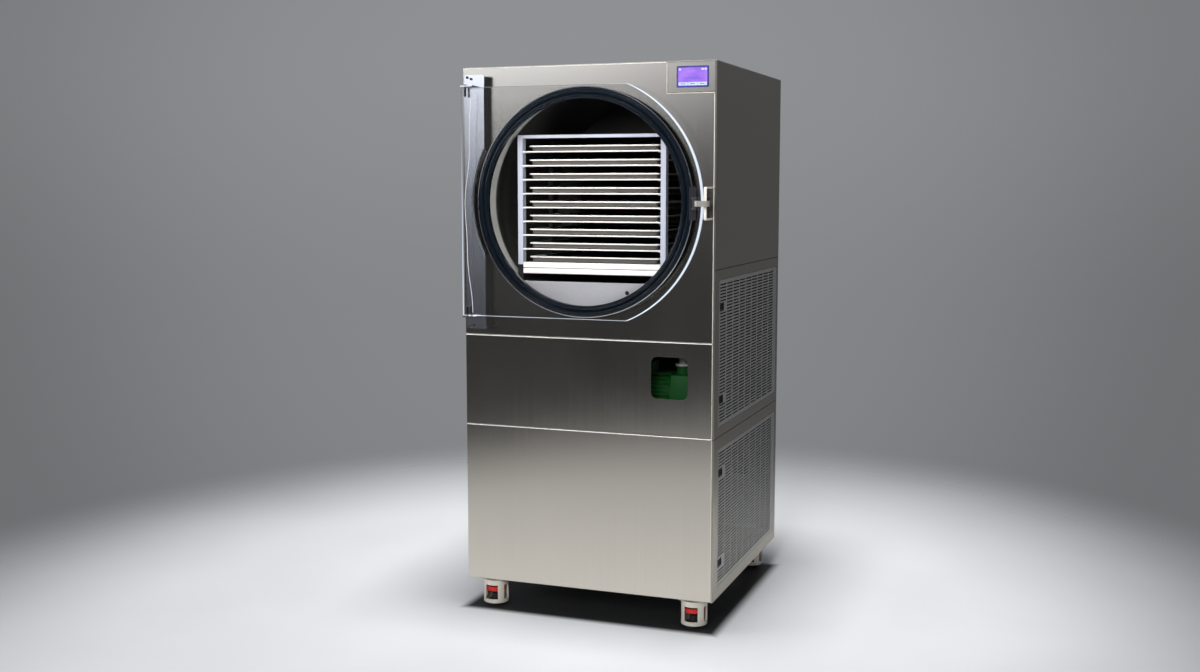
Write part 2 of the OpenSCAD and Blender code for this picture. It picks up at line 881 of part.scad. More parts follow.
module vacuum_pump() {
    x1 = pipe_x + 60;
    x0 = pipe_x - 24;
    m0 = x0 - 210;
    color([0.16, 0.45, 0.1])
        at_cabinet() {
            block(m0 + 20, x1, pump_y - 55, pump_y + 55, shelf_up + fit, shelf_up + 10);
            block(m0 + 40, m0 + 60, pump_y - 40, pump_y + 40, shelf_up + 9, pump_z);
            block(x0 - 30, x0 - 10, pump_y - 40, pump_y + 40, shelf_up + 9, pump_z);
            rod_x(pump_y, pump_z, m0, x0 + over, pump_r);
            rod_x(pump_y, pump_z, m0 - 34, m0 + over, pump_r + 5);
            intersection() {
                for (i = [-5 : 5])
                    block(m0 + 12, x0 - 6, pump_y - pump_r - 14, pump_y + pump_r + 14,
                        pump_z + i * 12.6 - 1.6, pump_z + i * 12.6 + 1.6);
                rod_x(pump_y, pump_z, m0, x0, pump_r + 13);
            }
            block(x0, x1, pump_y - 62, pump_y + 65, shelf_up + 9, pump_z + 62);
            rod_z(pipe_x, pump_y, pump_z + 60, pump_z + 82, 21);
            rod_z(pipe_x, pump_y, pump_z + 82, pump_z + 88, 26);
            block(m0 + 70, m0 + 140, pump_y - 30, pump_y + 30, pump_z + pump_r - 4, pump_z + pump_r + 36);
            rod_y(pipe_x + 34, pump_z - 18, pump_y - 72, pump_y - 61, 15);
        }
}

module vacuum_hose() {
    r = 45;
    a = 45;
    z1 = cz - (pipe_x - r * (1 - cos(a)) - cx) - r * sin(a);
    color([0.5, 0.5, 0.52])
        at_cabinet() {
            rod_z(pipe_x, port_y, pump_z + 88 + fit, pump_z + 94, 26);
            rod_z(pipe_x, port_y, pump_z + 93, z1, hose_r);
            translate([pipe_x - r, port_y, z1])
                mirror([0, 0, 1])
                    bend(r, hose_r, a);
            at_port() {
                rod_z(0, 0, drum_out + port_l + fit, drum_out + port_l + 5, port_r);
                rod_z(0, 0, drum_out + port_l + 4, (pipe_x - r * (1 - cos(a)) - cx) / sin(a), hose_r);
            }
        }
}

module coolant_lines() {
    color([0.85, 0.84, 0.8])
        at_cabinet()
            difference() {
                for (y = line_y)
                    rod_z(line_x, y, shelf_z - 160, cz, line_r);
                rod_y(cx, cz, 0, cab_d, jacket_r + round_fit);
                block(0, cab_w, 0, cab_d, cz - 0.3 * jacket_r, cab_h);
            }
}

module compressor() {
    z0 = base_t + fit;
    color([0.08, 0.08, 0.09])
        at_cabinet() {
            block(comp_x - 90, comp_x + 90, comp_y - 90, comp_y + 90, z0 + 12, z0 + 17);
            for (i = [-1, 1])
                for (j = [-1, 1])
                    rod_z(comp_x + i * 75, comp_y + j * 75, z0, z0 + 13, 12);
            rod_z(comp_x, comp_y, z0 + 16, z0 + 190, comp_r);
            intersection() {
                translate([comp_x, comp_y, z0 + 130])
                    sphere(r = comp_r + 20);
                rod_z(comp_x, comp_y, z0 + 100, z0 + 260, comp_r - 1.5);
            }
            block(comp_x + comp_r - 12, comp_x + comp_r + 28, comp_y - 30, comp_y + 30, z0 + 90, z0 + 160);
            rod_z(comp_x - 40, comp_y, z0 + 220, z0 + 262, 5);
            rod_z(comp_x + 20, comp_y + 40, z0 + 220, z0 + 262, 4);
        }
}

module fan_shroud() {
    w = fan_r + 40;
    h = fan_r + 35;
    y = cond_y + 54 + fit;
            difference() {
                union() {
                    block(fan_x - w, fan_x + w, y, y + 2, fan_z - h, fan_z + h);
                    rod_y(fan_x, fan_z, y, y + 66, fan_r + 3);
                }
                rod_y(fan_x, fan_z, y - over, y + 66 + over, fan_r);
            }
            for (a = [0, 90])
                translate([fan_x, 0, fan_z])
                    rotate([0, a, 0])
                        block(-fan_r - over, fan_r + over, y + 58, y + 62, -6, 6);
            rod_y(fan_x, fan_z, y + 52, y + 80, 34);
            rod_y(fan_x, fan_z, y + 8, y + 54, axle_r);
}

module condenser() {
    w = fan_r + 40;
    h = fan_r + 35;
    color([0.55, 0.55, 0.54])
        at_cabinet() {
            fan_shroud();
            for (x = [fan_x - w, fan_x + w - 3])
                block(x, x + 3, cond_y, cond_y + 54, fan_z - h, fan_z + h);
            for (i = [1 : 30])
                let (x = fan_x - w + i * (2 * w - 3) / 31)
                    block(x, x + over, cond_y + 4, cond_y + 50, fan_z - h + 4, fan_z + h - 4);
            for (i = [0 : 7])
                rod_x(cond_y + 27, fan_z - h + 25 + i * 50, fan_x - w - 8, fan_x + w + 8, 5);
            for (x = [fan_x - w + 1, fan_x + w - 41])
                block(x, x + 40, cond_y + 10, cond_y + 44, post_lo + tube, fan_z - h + 4);
        }
}

module fan_rotor() {
    y = cond_y + 54 + fit;
    color([0.16, 0.16, 0.17])
        at_cabinet()
            difference() {
                union() {
                    rod_y(fan_x, fan_z, y + 14, y + 48, 38);
                    for (a = [0 : 72 : 288])
                        translate([fan_x, y + 31, fan_z])
                            rotate([0, a, 0])
                                rotate([0, 0, blade_tilt])
                                    translate([-42, -over, 30])
                                        cube([84, 2, fan_r - 46]);
                }
                rod_y(fan_x, fan_z, y, y + 60, axle_r + 0.1);
            }
}

module power_inlet() {
    y1 = cab_d + 2.5;
    color([0.07, 0.07, 0.08])
        at_cabinet()
            difference() {
                union() {
                    block(inlet_x - 31, inlet_x + 31, cab_d + 0.1, y1, inlet_z - 20, switch_z + 20);
                    block(inlet_x - 24.5, inlet_x + 24.5, cab_d - 28, cab_d + over, inlet_z - 13.5,
                        inlet_z + 13.5);
                    block(inlet_x - 14.5, inlet_x + 14.5, cab_d - 22, cab_d + over, switch_z - 15.5,
                        switch_z + 15.5);
                }
                block(inlet_x - 20, inlet_x + 20, cab_d - 20, y1 + over, inlet_z - 10, inlet_z + 10);
                block(inlet_x - 9.6, inlet_x + 9.6, cab_d - 16, y1 + over, switch_z - 13.5, switch_z + 13.5);
            }
    color([0.75, 0.7, 0.5])
        at_cabinet()
            for (x = [-7, 0, 7])
                block(inlet_x + x - 1, inlet_x + x + 1, cab_d - 21, cab_d - 6,
                    inlet_z - 3 + abs(x) / 7, inlet_z + 3 + abs(x) / 7);
}

module power_switch() {
    color([0.55, 0.05, 0.04])
        at_cabinet()
            translate([0, cab_d - 5, switch_z])
                rotate([8, 0, 0])
                    union() {
                        rod_x(0, 0, inlet_x - 9.2, inlet_x + 9.2, 4);
                        pull_x(inlet_x - 9.2, inlet_x + 9.2)
                            polygon([[-1, -3.8], [3.5, -12], [6.5, -12], [4.6, 0], [6.5, 12], [3.5, 12],
                                [-1, 3.8]]);
                    }
}

module drain_valve() {
    r = 40;
    top = cz - drum_out - port_l - fit;
    color([0.75, 0.62, 0.3])
        at_cabinet() {
            rod_z(cx, drain_y, drain_z + r, top, drain_r);
            translate([cx, drain_y + r, drain_z + r])
                rotate([0, 90, -90])
                    rotate_extrude(angle = 90)
                        translate([r, 0])
                            circle(drain_r);
            rod_y(cx, drain_z, drain_y + r, valve_y - 20, drain_r);
            rod_y(cx, drain_z, valve_y - 21, valve_y + 21, 17);
            rod_z(cx, valve_y, drain_z, drain_z + 24, 8);
            rod_z(cx, valve_y, drain_z + 23, drain_z + 36, 4);
            difference() {
                rod_y(cx, drain_z, valve_y + 20, cab_d + rear_reach, 9);
                rod_y(cx, drain_z, valve_y + 21, cab_d + rear_reach + over, 6);
            }
        }
}

module drain_lever() {
    color([0.7, 0.08, 0.06])
        at_cabinet()
            difference() {
                union() {
                    rod_z(cx, valve_y, drain_z + 24.4, drain_z + 30, 9);
                    block(cx - 70, cx, valve_y - 6, valve_y + 6, drain_z + 26, drain_z + 30);
                }
                rod_z(cx, valve_y, drain_z + 24, drain_z + 31, axle_r + 0.1);
            }
}

// Door

module door_panel() {
    t = door_t;
    c = door_bevel;
    r = door_r * fit_k;
    edge = 6;
    color([0.85, 0.92, 0.95, 0.35])
        at_cabinet()
            difference() {
                intersection() {
                    union() {
                        translate([0, door_y0, 0])
                            turn_drum()
                                polygon([[0, 0], [r - c, 0], [r, c], [r, t - c], [r - c, t], [0, t]]);
                        block(door_left, cx, door_y0, door_y1, cz - door_hz, cz + door_hz);
                    }
                    pull_x(door_left - over, door_x + over)
                        polygon([[door_y0 + c, cz - door_hz], [door_y1 - c, cz - door_hz],
                            [door_y1, cz - door_hz + c], [door_y1, cz + door_hz - c],
                            [door_y1 - c, cz + door_hz], [door_y0 + c, cz + door_hz],
                            [door_y0, cz + door_hz - c], [door_y0, cz - door_hz + c]]);
                    translate([0, 0, cz - door_hz])
                        linear_extrude(2 * door_hz)
                            polygon([[door_left + edge, door_y0], [door_x + over, door_y0],
                                [door_x + over, door_y1], [door_left + edge, door_y1],
                                [door_left, door_y1 - edge], [door_left, door_y0 + edge]]);
                }
                for (z = [cz - door_hz - over, cz + door_hz - pin_in - over / 2])
                    rod_z(pin_x, pin_y, z, z + pin_in + 1.5, pin_r + pin_clear);
            }
}

// Vent doors

module vent_door(z0, z1, slides) {
    x0 = cab_w - vd_d;
    x1 = cab_w - sheet;
    difference() {
        union() {
            difference() {
                block(x0, x1, vd_y0, vd_y1, z0, z1);
                block(x0 - over, x1 + over, vd_y0 + sheet, vd_y1 - sheet, z0 + sheet, z1 - sheet);
            }
            pull_x(x1, cab_w)
                difference() {
                    translate([vd_y0, z0])
                        square([vd_y1 - vd_y0, z1 - z0]);
                    slot_rows(z0, z1, slides);
                    for (z = slides)
                        translate([slide_y - slide_w / 2, z - slide_h / 2])
                            square([slide_w, slide_h]);
                }
        }
        rod_z(cab_w - vd_pin_in, vd_y1 - vd_pin_in, z0 - over, z1 + over, vd_pin_r + 0.1);
        for (z = slides)
            block(cab_w - slide_d + fit, x1, vd_y0 - over, vd_y0 + sheet + over, z - slide_h / 4,
                z + slide_h / 4);
    }
}

module upper_vent_door() {
    color([0.66, 0.67, 0.67])
        at_cabinet()
            vent_door(up_z0, up_z1, up_slides);
}

module lower_vent_door() {
    color([0.66, 0.67, 0.67])
        at_cabinet()
            vent_door(low_z0, low_z1, low_slides);
}

// The cup a slide runs in, open towards the front for the slide's tongue
module slide_cup(z) {
    y0 = slide_y - slide_w / 2;
    y1 = slide_y + slide_w / 2;
    h = slide_h / 2;
    difference() {
        block(cab_w - slide_d, cab_w, y0 + fit, y1 - fit, z - h + fit, z + h - fit);
        block(cab_w - 5, cab_w + over, y0 + 5, y1 - 5, z - h + 5, z + h - 5);
        block(cab_w - 9, cab_w - 4, y0 - over, y1 - 4, z - 6, z + 6);
    }
}

module upper_latch_cups() {
    color([0.06, 0.06, 0.07])
        at_cabinet()
            for (z = up_slides)
                slide_cup(z);
}

module lower_latch_cups() {
    color([0.06, 0.06, 0.07])
        at_cabinet()
            for (z = low_slides)
                slide_cup(z);
}

module slide(z) {
    y0 = slide_y - slide_w / 2 + over;
    color([0.1, 0.1, 0.11])
        at_cabinet() {
            block(cab_w - 8.7, cab_w - 5.6, y0, y0 + slide_in, z - 5.7, z + 5.7);
            for (i = [0 : 3])
                block(cab_w - 6, cab_w - 1.4, y0 + 18 + i * 4, y0 + 20 + i * 4, z - 5.7, z + 5.7);
        }
}

module slide_upper_high() {
    slide(up_slides[1]);
}

module slide_upper_low() {
    slide(up_slides[0]);
}

module slide_lower_high() {
    slide(low_slides[1]);
}

module slide_lower_low() {
    slide(low_slides[0]);
}

// Casters, drawn from the floor under their own centre

module at_caster(right, rear) {
    translate([right ? cab_w / 2 - caster_x : caster_x - cab_w / 2,
        front_y + (rear ? cab_d - caster_y : caster_y), 0])
        children();
}

module caster_plates() {
    color([0.86, 0.82, 0.7])
        for (right = [false, true])
            for (rear = [false, true])
                at_caster(right, rear) {
                    difference() {
                        translate([0, 0, stand_h - cplate_t])
                            linear_extrude(cplate_t - 0.1)
                                round_box(-cplate / 2, cplate / 2, -cplate / 2, cplate / 2, 8);
                        for (i = [-bolt_at, bolt_at])
                            for (j = [-bolt_at, bolt_at])
                                rod_z(i, j, 0, stand_h, bolt_r + fit);
                    }
                    rod_z(0, 0, stand_h - cplate_t - neck_t, stand_h - cplate_t, neck_r);
                    rod_z(0, 0, shell_hi - shell_top + over, stand_h - cplate_t, king_r);
                }
    color([0.7, 0.7, 0.7])
        for (right = [false, true])
            for (rear = [false, true])
                at_caster(right, rear)
                    for (i = [-bolt_at, bolt_at])
                        for (j = [-bolt_at, bolt_at]) {
                            rod_z(i, j, stand_h - cplate_t - over, stand_h + base_t, bolt_r);
                            translate([i, j, stand_h - cplate_t - 5])
                                cylinder(h = 4.8, r = 7, $fn = 6);
                        }
}

module housing() {
    color([0.88, 0.84, 0.72])
        difference() {
            union() {
                difference() {
                    rod_z(0, 0, shell_lo, shell_hi, shell_r);
                    rod_z(0, 0, shell_lo - over, shell_hi - shell_top, shell_r - shell_t);
                    block(-22, 22, -shell_r, 0, 24, shell_hi - shell_top - 5);
                    block(-shell_r, shell_r, -19, 6, 24, shell_hi - shell_top - 5);
                }
                for (x = [-wheel_half - cheek_t - 0.5, wheel_half + 0.5])
                    hull_cheek(x);
            }
            block(-wheel_half - 0.5, wheel_half + 0.5, 18, shell_r + over, 0, shell_hi - shell_top);
            rod_z(0, 0, 0, nut_hi + over, nut_r + 2);
            rod_z(0, 0, shell_hi - shell_top - over, shell_hi + over, king_r + pin_clear);
        }
    color([0.7, 0.7, 0.72])
        rod_x(wheel_y, wheel_z, -wheel_half - cheek_t, wheel_half + cheek_t, axle_r);
}

// A fork cheek drawn in y and z and pulled along x
module hull_cheek(x) {
    pull_x(x, x + cheek_t)
        union() {
            polygon([[24, 24], [wheel_y, wheel_z - 14], [wheel_y + 14, wheel_z], [wheel_y + 8, shell_hi - 22],
                [shell_r - 4, shell_hi], [24, shell_hi]]);
            translate([wheel_y, wheel_z])
                circle(14);
        }
}

module wheel() {
    color([0.12, 0.12, 0.13])
        translate([-wheel_half, wheel_y, wheel_z])
            rotate([0, 90, 0])
                rotate_extrude()
                    polygon([[axle_r + 0.1, 0], [wheel_r - 2, 0], [wheel_r, 2], [wheel_r, 2 * wheel_half - 2],
                        [wheel_r - 2, 2 * wheel_half], [axle_r + 0.1, 2 * wheel_half]]);
}

module level_nut() {
    color([0.75, 0.08, 0.06])
        difference() {
            rod_z(0, 0, nut_lo, nut_hi, nut_r);
            rod_z(0, 0, nut_lo - over, nut_hi + over, stem_r + 0.1);
            for (a = [0 : 15 : 345])
                rotate([0, 0, a])
                    translate([nut_r, 0, nut_lo - over])
                        cylinder(h = nut_hi - nut_lo + 2 * over, r = 2.6);
        }
}

module level_pad() {
    color([0.1, 0.1, 0.11]) {
        rotate_extrude()
            polygon([[0, 0], [pad_r - 1, 0], [pad_r, 1], [pad_r, pad_t - 2], [pad_r - 2, pad_t], [19, pad_t],
                [14, 38], [stem_r, 40], [stem_r, stem_top], [0, stem_top]]);
    }
}

module housing_fl() {
    at_caster(false, false)
        housing();
}

module housing_fr() {
    at_caster(true, false)
        housing();
}

module housing_rl() {
    at_caster(false, true)
        housing();
}

module housing_rr() {
    at_caster(true, true)
        housing();
}

module wheel_fl() {
    at_caster(false, false)
        wheel();
}

module wheel_fr() {
    at_caster(true, false)
        wheel();
}

module wheel_rl() {
    at_caster(false, true)
        wheel();
}

module wheel_rr() {
    at_caster(true, true)
        wheel();
}

module nut_fl() {
    at_caster(false, false)
        level_nut();
}

module nut_fr() {
    at_caster(true, false)
        level_nut();
}

module nut_rl() {
    at_caster(false, true)
        level_nut();
}

module nut_rr() {
    at_caster(true, true)
        level_nut();
}

module pad_fl() {
    at_caster(false, false)
        level_pad();
}

module pad_fr() {
    at_caster(true, false)
        level_pad();
}

module pad_rl() {
    at_caster(false, true)
        level_pad();
}

module pad_rr() {
    at_caster(true, true)
        level_pad();
}

cabinet_frame();
deck_plates();
top_cover();
left_panels();
right_panels();
back_panel();
upper_front_panel();
middle_front_panel();
lower_front_panel();
control_fascia();
display_screen();
chamber();
insulation_jacket();
door_gasket();
hinge_bracket();
pins_and_screws();
strike_loop();
rack_frame();
rack_shelves();
rack_runners();
trays();
vacuum_pump();
vacuum_hose();
coolant_lines();
compressor();
condenser();
fan_rotor();
power_inlet();
power_switch();
drain_valve();
drain_lever();
door_panel();
latch_plate();
latch_base();
latch_hook();
upper_vent_door();
lower_vent_door();
upper_latch_cups();
lower_latch_cups();
slide_upper_high();
slide_upper_low();
slide_lower_high();
slide_lower_low();
caster_plates();
housing_fl();
housing_fr();
housing_rl();
housing_rr();
wheel_fl();
wheel_fr();
wheel_rl();
wheel_rr();
nut_fl();
nut_fr();
nut_rl();
nut_rr();
pad_fl();
pad_fr();
pad_rl();
pad_rr();
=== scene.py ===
"""Freeze dryer on levelling casters: finishes, clear door, gasket, trays, display, trims and studio."""

import json
import math

import bmesh
import bpy
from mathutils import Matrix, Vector


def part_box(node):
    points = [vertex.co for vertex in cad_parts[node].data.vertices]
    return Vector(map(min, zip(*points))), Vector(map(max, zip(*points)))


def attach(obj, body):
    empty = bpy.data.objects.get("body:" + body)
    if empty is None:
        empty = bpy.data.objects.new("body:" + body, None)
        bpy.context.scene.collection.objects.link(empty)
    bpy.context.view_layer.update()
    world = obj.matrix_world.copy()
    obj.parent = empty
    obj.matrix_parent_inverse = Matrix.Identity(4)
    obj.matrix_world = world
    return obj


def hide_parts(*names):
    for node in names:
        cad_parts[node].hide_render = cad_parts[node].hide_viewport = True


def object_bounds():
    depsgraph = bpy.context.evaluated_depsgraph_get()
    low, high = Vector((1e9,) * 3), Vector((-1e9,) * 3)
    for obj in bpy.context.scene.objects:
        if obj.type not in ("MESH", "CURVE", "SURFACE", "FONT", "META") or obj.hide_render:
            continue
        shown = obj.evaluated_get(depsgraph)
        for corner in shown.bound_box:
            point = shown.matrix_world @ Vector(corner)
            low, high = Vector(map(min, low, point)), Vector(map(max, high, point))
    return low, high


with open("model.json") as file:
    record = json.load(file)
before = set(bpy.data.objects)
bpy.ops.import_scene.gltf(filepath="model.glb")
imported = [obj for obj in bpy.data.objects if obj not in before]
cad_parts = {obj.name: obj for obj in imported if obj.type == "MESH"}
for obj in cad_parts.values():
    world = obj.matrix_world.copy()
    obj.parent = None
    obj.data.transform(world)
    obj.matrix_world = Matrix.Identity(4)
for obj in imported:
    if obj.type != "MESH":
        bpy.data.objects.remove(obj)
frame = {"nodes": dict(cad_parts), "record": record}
cad_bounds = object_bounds()
scene = bpy.context.scene
MM = 0.001

# Places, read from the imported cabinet
panel_lo, panel_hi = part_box("lower_front_panel")
seal_lo, seal_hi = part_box("door_gasket")
door_lo, door_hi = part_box("door_panel")
tray_lo, tray_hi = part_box("trays")
screen_lo, screen_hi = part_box("display_screen")
fascia_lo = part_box("control_fascia")[0]
plate_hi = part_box("hinge_bracket")[1]
middle_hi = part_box("middle_front_panel")[1]
upper_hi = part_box("upper_front_panel")[1]
FRONT = panel_lo.y
AXIS_X = (seal_lo.x + seal_hi.x) / 2
AXIS_Z = (seal_lo.z + seal_hi.z) / 2
SEAL_SCALE = (seal_hi.x - seal_lo.x) / 0.72  # the ring pieces are drawn for a seal 720 mm across
TRAY_COUNT = 9
TRAY_RISE = 19.0 * MM
TRAY_PITCH = (tray_hi.z - tray_lo.z - TRAY_RISE) / (TRAY_COUNT - 1)
MERGE = 1e-6  # points closer than this are one point, in metres


# Camera

def add_camera():
    data = bpy.data.cameras.new("studio_camera")
    data.lens = 40.68
    data.sensor_width = 36.0
    data.clip_end = 100.0
    camera = bpy.data.objects.new("studio_camera", data)
    camera.location = (1.5311, -4.4184, 1.4061)
    camera.rotation_euler = (math.radians(83.64), 0.0, math.radians(20.34))
    scene.collection.objects.link(camera)
    scene.camera = camera


add_camera()


# Node helpers for the finishes

def put(tree, kind, **values):
    made = tree.nodes.new("ShaderNode" + kind)
    for key, value in values.items():
        setattr(made, key, value)
    return made


def feed(tree, socket, value):
    """Links a socket, or sets a plain value, on the socket given."""
    if isinstance(value, bpy.types.NodeSocket):
        tree.links.new(value, socket)
    else:
        socket.default_value = value


def blank(name):
    """A new material with one Principled shader, and its tree and shader."""
    material = bpy.data.materials.new(name)
    material.use_nodes = True
    tree = material.node_tree
    tree.nodes.clear()
    out = put(tree, "OutputMaterial")
    shader = put(tree, "BsdfPrincipled")
    tree.links.new(shader.outputs["BSDF"], out.inputs["Surface"])
    return material, tree, shader


def grain(tree, scale, detail=2.0, where=(0.0, 0.0, 0.0)):
    """Noise on the piece's own coordinates, stretched by scale in cells per metre."""
    coords = put(tree, "TexCoord")
    stretch = put(tree, "Mapping")
    stretch.inputs["Scale"].default_value = scale
    stretch.inputs["Location"].default_value = where
    noise = put(tree, "TexNoise")
    noise.inputs["Scale"].default_value = 1.0
    noise.inputs["Detail"].default_value = detail
    tree.links.new(coords.outputs["Object"], stretch.inputs["Vector"])
    tree.links.new(stretch.outputs["Vector"], noise.inputs["Vector"])
    return noise.outputs["Fac"]


def sum_of(tree, first, second, share):
    """first times (1 - share) plus second times share."""
    mix = put(tree, "Mix", data_type="FLOAT")
    mix.inputs[0].default_value = share
    feed(tree, mix.inputs[2], first)
    feed(tree, mix.inputs[3], second)
    return mix.outputs[0]


def calc(tree, operation, first, second=0.0):
    made = put(tree, "Math", operation=operation)
    feed(tree, made.inputs[0], first)
    feed(tree, made.inputs[1], second)
    return made.outputs[0]


def fit_range(tree, value, start, end, low, high, course):
    fit = put(tree, "MapRange", interpolation_type=course)
    feed(tree, fit.inputs["Value"], value)
    fit.inputs["From Min"].default_value = start
    fit.inputs["From Max"].default_value = end
    fit.inputs["To Min"].default_value = low
    fit.inputs["To Max"].default_value = high
    return fit.outputs["Result"]


def span(tree, value, low, high, start=0.3, end=0.7):
    """Straight from low to high, while the value goes from start to end."""
    return fit_range(tree, value, start, end, low, high, "LINEAR")


def smooth(tree, value, start, end, low=0.0, high=1.0):
    """Eased from low to high, while the value goes from start to end."""
    return fit_range(tree, value, start, end, low, high, "SMOOTHSTEP")


def tint(tree, value, low, high, start=0.3, end=0.7):
    """A colour from low to high, while the value goes from start to end."""
    ramp = put(tree, "ValToRGB")
    feed(tree, ramp.inputs["Fac"], value)
    ramp.color_ramp.elements[0].position = start
    ramp.color_ramp.elements[0].color = (*low, 1.0)
    ramp.color_ramp.elements[1].position = end
    ramp.color_ramp.elements[1].color = (*high, 1.0)
    return ramp.outputs["Color"]


def relief(tree, shader, height, depth, strength=1.0):
    """Bump of the depth given, in metres."""
    bump = put(tree, "Bump")
    bump.inputs["Distance"].default_value = depth
    bump.inputs["Strength"].default_value = strength
    feed(tree, bump.inputs["Height"], height)
    tree.links.new(bump.outputs["Normal"], shader.inputs["Normal"])


def place_of(tree):
    """The X, Y and Z of a point, in metres."""
    where = put(tree, "SeparateXYZ")
    tree.links.new(put(tree, "TexCoord").outputs["Object"], where.inputs[0])
    return where.outputs


def dim(tree, colour, factor):
    scaled = put(tree, "VectorMath", operation="SCALE")
    tree.links.new(colour, scaled.inputs[0])
    tree.links.new(factor, scaled.inputs["Scale"])
    return scaled.outputs["Vector"]


def painted_depth_shade(tree, colour, near, far, left):
    """Painted shade inside the chamber: darkens a colour from near to far, in mm behind the front, down to the
    share left.
    """
    share = smooth(tree, place_of(tree)["Y"], FRONT + near * MM, FRONT + far * MM, 1.0, left)
    return dim(tree, colour, share)


def chosen(tree, share, first, second):
    """The first shader, and the second by its share."""
    either = put(tree, "MixShader")
    feed(tree, either.inputs["Fac"], share)
    tree.links.new(first, either.inputs[1])
    tree.links.new(second, either.inputs[2])
    return either.outputs["Shader"]


def show(tree, shown):
    """Sends a shader to the material's output."""
    out = next(node for node in tree.nodes if node.type == "OUTPUT_MATERIAL")
    tree.links.new(shown, out.inputs["Surface"])


def shade(values, factor):
    return tuple(value * factor for value in values)


# Finishes

def brushed(name, colour, rough, stretch=(1300.0, 1300.0, 4.0), streak=0.05, depth=0.0000015,
            spread=0.0, smudge=0.03, metal=1.0, fade=None):
    """Brushed sheet metal: hairlines along the sheet, broad soft streaks and faint handling marks."""
    material, tree, shader = blank(name)
    hair = grain(tree, stretch, 3.0)
    broad = grain(tree, shade(stretch, 1 / 9), 2.0, (3.1, 1.7, 0.4))
    cloud = grain(tree, (2.6, 2.6, 2.2), 4.0, (0.3, 5.2, 1.1))
    lines = sum_of(tree, hair, broad, 0.45)
    marks = sum_of(tree, lines, cloud, 0.3)
    tone = tint(tree, marks, shade(colour, 1 - streak), shade(colour, 1 + streak))
    # painted shade: given a fade, the colour darkens deeper in the chamber
    feed(tree, shader.inputs["Base Color"], painted_depth_shade(tree, tone, *fade) if fade else tone)
    feed(tree, shader.inputs["Roughness"],
         span(tree, sum_of(tree, lines, cloud, 0.6), rough - smudge, rough + smudge))
    shader.inputs["Metallic"].default_value = metal
    if spread:
        shader.inputs["Anisotropic"].default_value = spread
        around = put(tree, "Tangent", direction_type="RADIAL", axis="Z")
        tree.links.new(around.outputs["Tangent"], shader.inputs["Tangent"])
    relief(tree, shader, hair, depth)
    return material


def satin_metal(name, colour, rough, cell=220.0, streak=0.08, depth=0.00003, smudge=0.06, metal=1.0,
                fade=None):
    """Plain or cast metal with a fine even grain and soft tarnish."""
    material, tree, shader = blank(name)
    fine = grain(tree, (cell, cell, cell), 3.0)
    cloud = grain(tree, (7.0, 7.0, 7.0), 4.0, (2.0, 0.4, 0.9))
    tone = tint(tree, sum_of(tree, fine, cloud, 0.6), shade(colour, 1 - streak), shade(colour, 1 + streak))
    # painted shade: given a fade, the colour darkens deeper in the chamber
    feed(tree, shader.inputs["Base Color"], painted_depth_shade(tree, tone, *fade) if fade else tone)
    feed(tree, shader.inputs["Roughness"], span(tree, cloud, rough - smudge, rough + smudge))
    shader.inputs["Metallic"].default_value = metal
    relief(tree, shader, fine, depth)
    return material


def moulded(name, colour, rough, cell=900.0, depth=0.00008, streak=0.1, coat=0.0, specular=0.5,
            smudge=0.08):
    """Moulded plastic, rubber or enamel: fine pitting, cloudy tone and rubbed patches."""
    material, tree, shader = blank(name)
    pits = grain(tree, (cell, cell, cell), 2.0)
    cloud = grain(tree, (9.0, 9.0, 9.0), 4.0, (1.0, 2.0, 3.0))
    feed(tree, shader.inputs["Base Color"],
         tint(tree, sum_of(tree, pits, cloud, 0.7), shade(colour, 1 - streak), shade(colour, 1 + streak)))
    feed(tree, shader.inputs["Roughness"], span(tree, cloud, rough - smudge, rough + smudge))
    shader.inputs["Specular IOR Level"].default_value = specular
    if coat:
        shader.inputs["Coat Weight"].default_value = coat
        shader.inputs["Coat Roughness"].default_value = 0.12
    relief(tree, shader, pits, depth)
    return material


def clear_sheet(name, colour, rough, weight, glow=0.0, ior=1.49):
    """Clear acrylic, which shadow rays and mirrored rays pass. Glow paints a highlight on its cut edges, low and
    at the right, as emission only the camera sees.
    """
    material, tree, shader = blank(name)
    haze = grain(tree, (5.0, 5.0, 5.0), 3.0)
    feed(tree, shader.inputs["Base Color"], tint(tree, haze, shade(colour, 0.985), colour))
    feed(tree, shader.inputs["Roughness"], span(tree, haze, rough, rough + 0.015))
    shader.inputs["Transmission Weight"].default_value = weight
    shader.inputs["IOR"].default_value = ior
    rays = put(tree, "LightPath").outputs
    # painted highlight: the edges glow, for camera rays only
    if glow:
        faint = glow * 0.1
        where = place_of(tree)
        low = span(tree, where["Z"], glow, faint, AXIS_Z - 0.25, AXIS_Z + 0.3)
        outer = span(tree, where["X"], faint, glow, AXIS_X + 0.05, AXIS_X + 0.2)
        shader.inputs["Emission Color"].default_value = (0.78, 0.87, 1.0, 1.0)
        feed(tree, shader.inputs["Emission Strength"],
             calc(tree, "MULTIPLY", calc(tree, "MAXIMUM", low, outer), rays["Is Camera Ray"]))
    relief(tree, shader, grain(tree, (6.0, 6.0, 6.0), 1.0), 0.0004, 0.25)
    let_through = put(tree, "BsdfTransparent")
    let_through.inputs["Color"].default_value = (weight, weight, weight, 1.0)
    passing = calc(tree, "MAXIMUM", rays["Is Shadow Ray"], rays["Is Glossy Ray"])
    show(tree, chosen(tree, passing, shader.outputs["BSDF"], let_through.outputs["BSDF"]))
    return material


def lit_field(name, low, high, strength):
    """A lit part of the display, with the soft unevenness of its back light."""
    material, tree, shader = blank(name)
    cloud = grain(tree, (30.0, 30.0, 45.0), 2.0)
    shader.inputs["Base Color"].default_value = (0.02, 0.02, 0.03, 1.0)
    feed(tree, shader.inputs["Emission Color"], tint(tree, cloud, low, high))
    shader.inputs["Emission Strength"].default_value = strength
    feed(tree, shader.inputs["Roughness"], span(tree, cloud, 0.12, 0.2))
    relief(tree, shader, cloud, 0.00002)
    return material


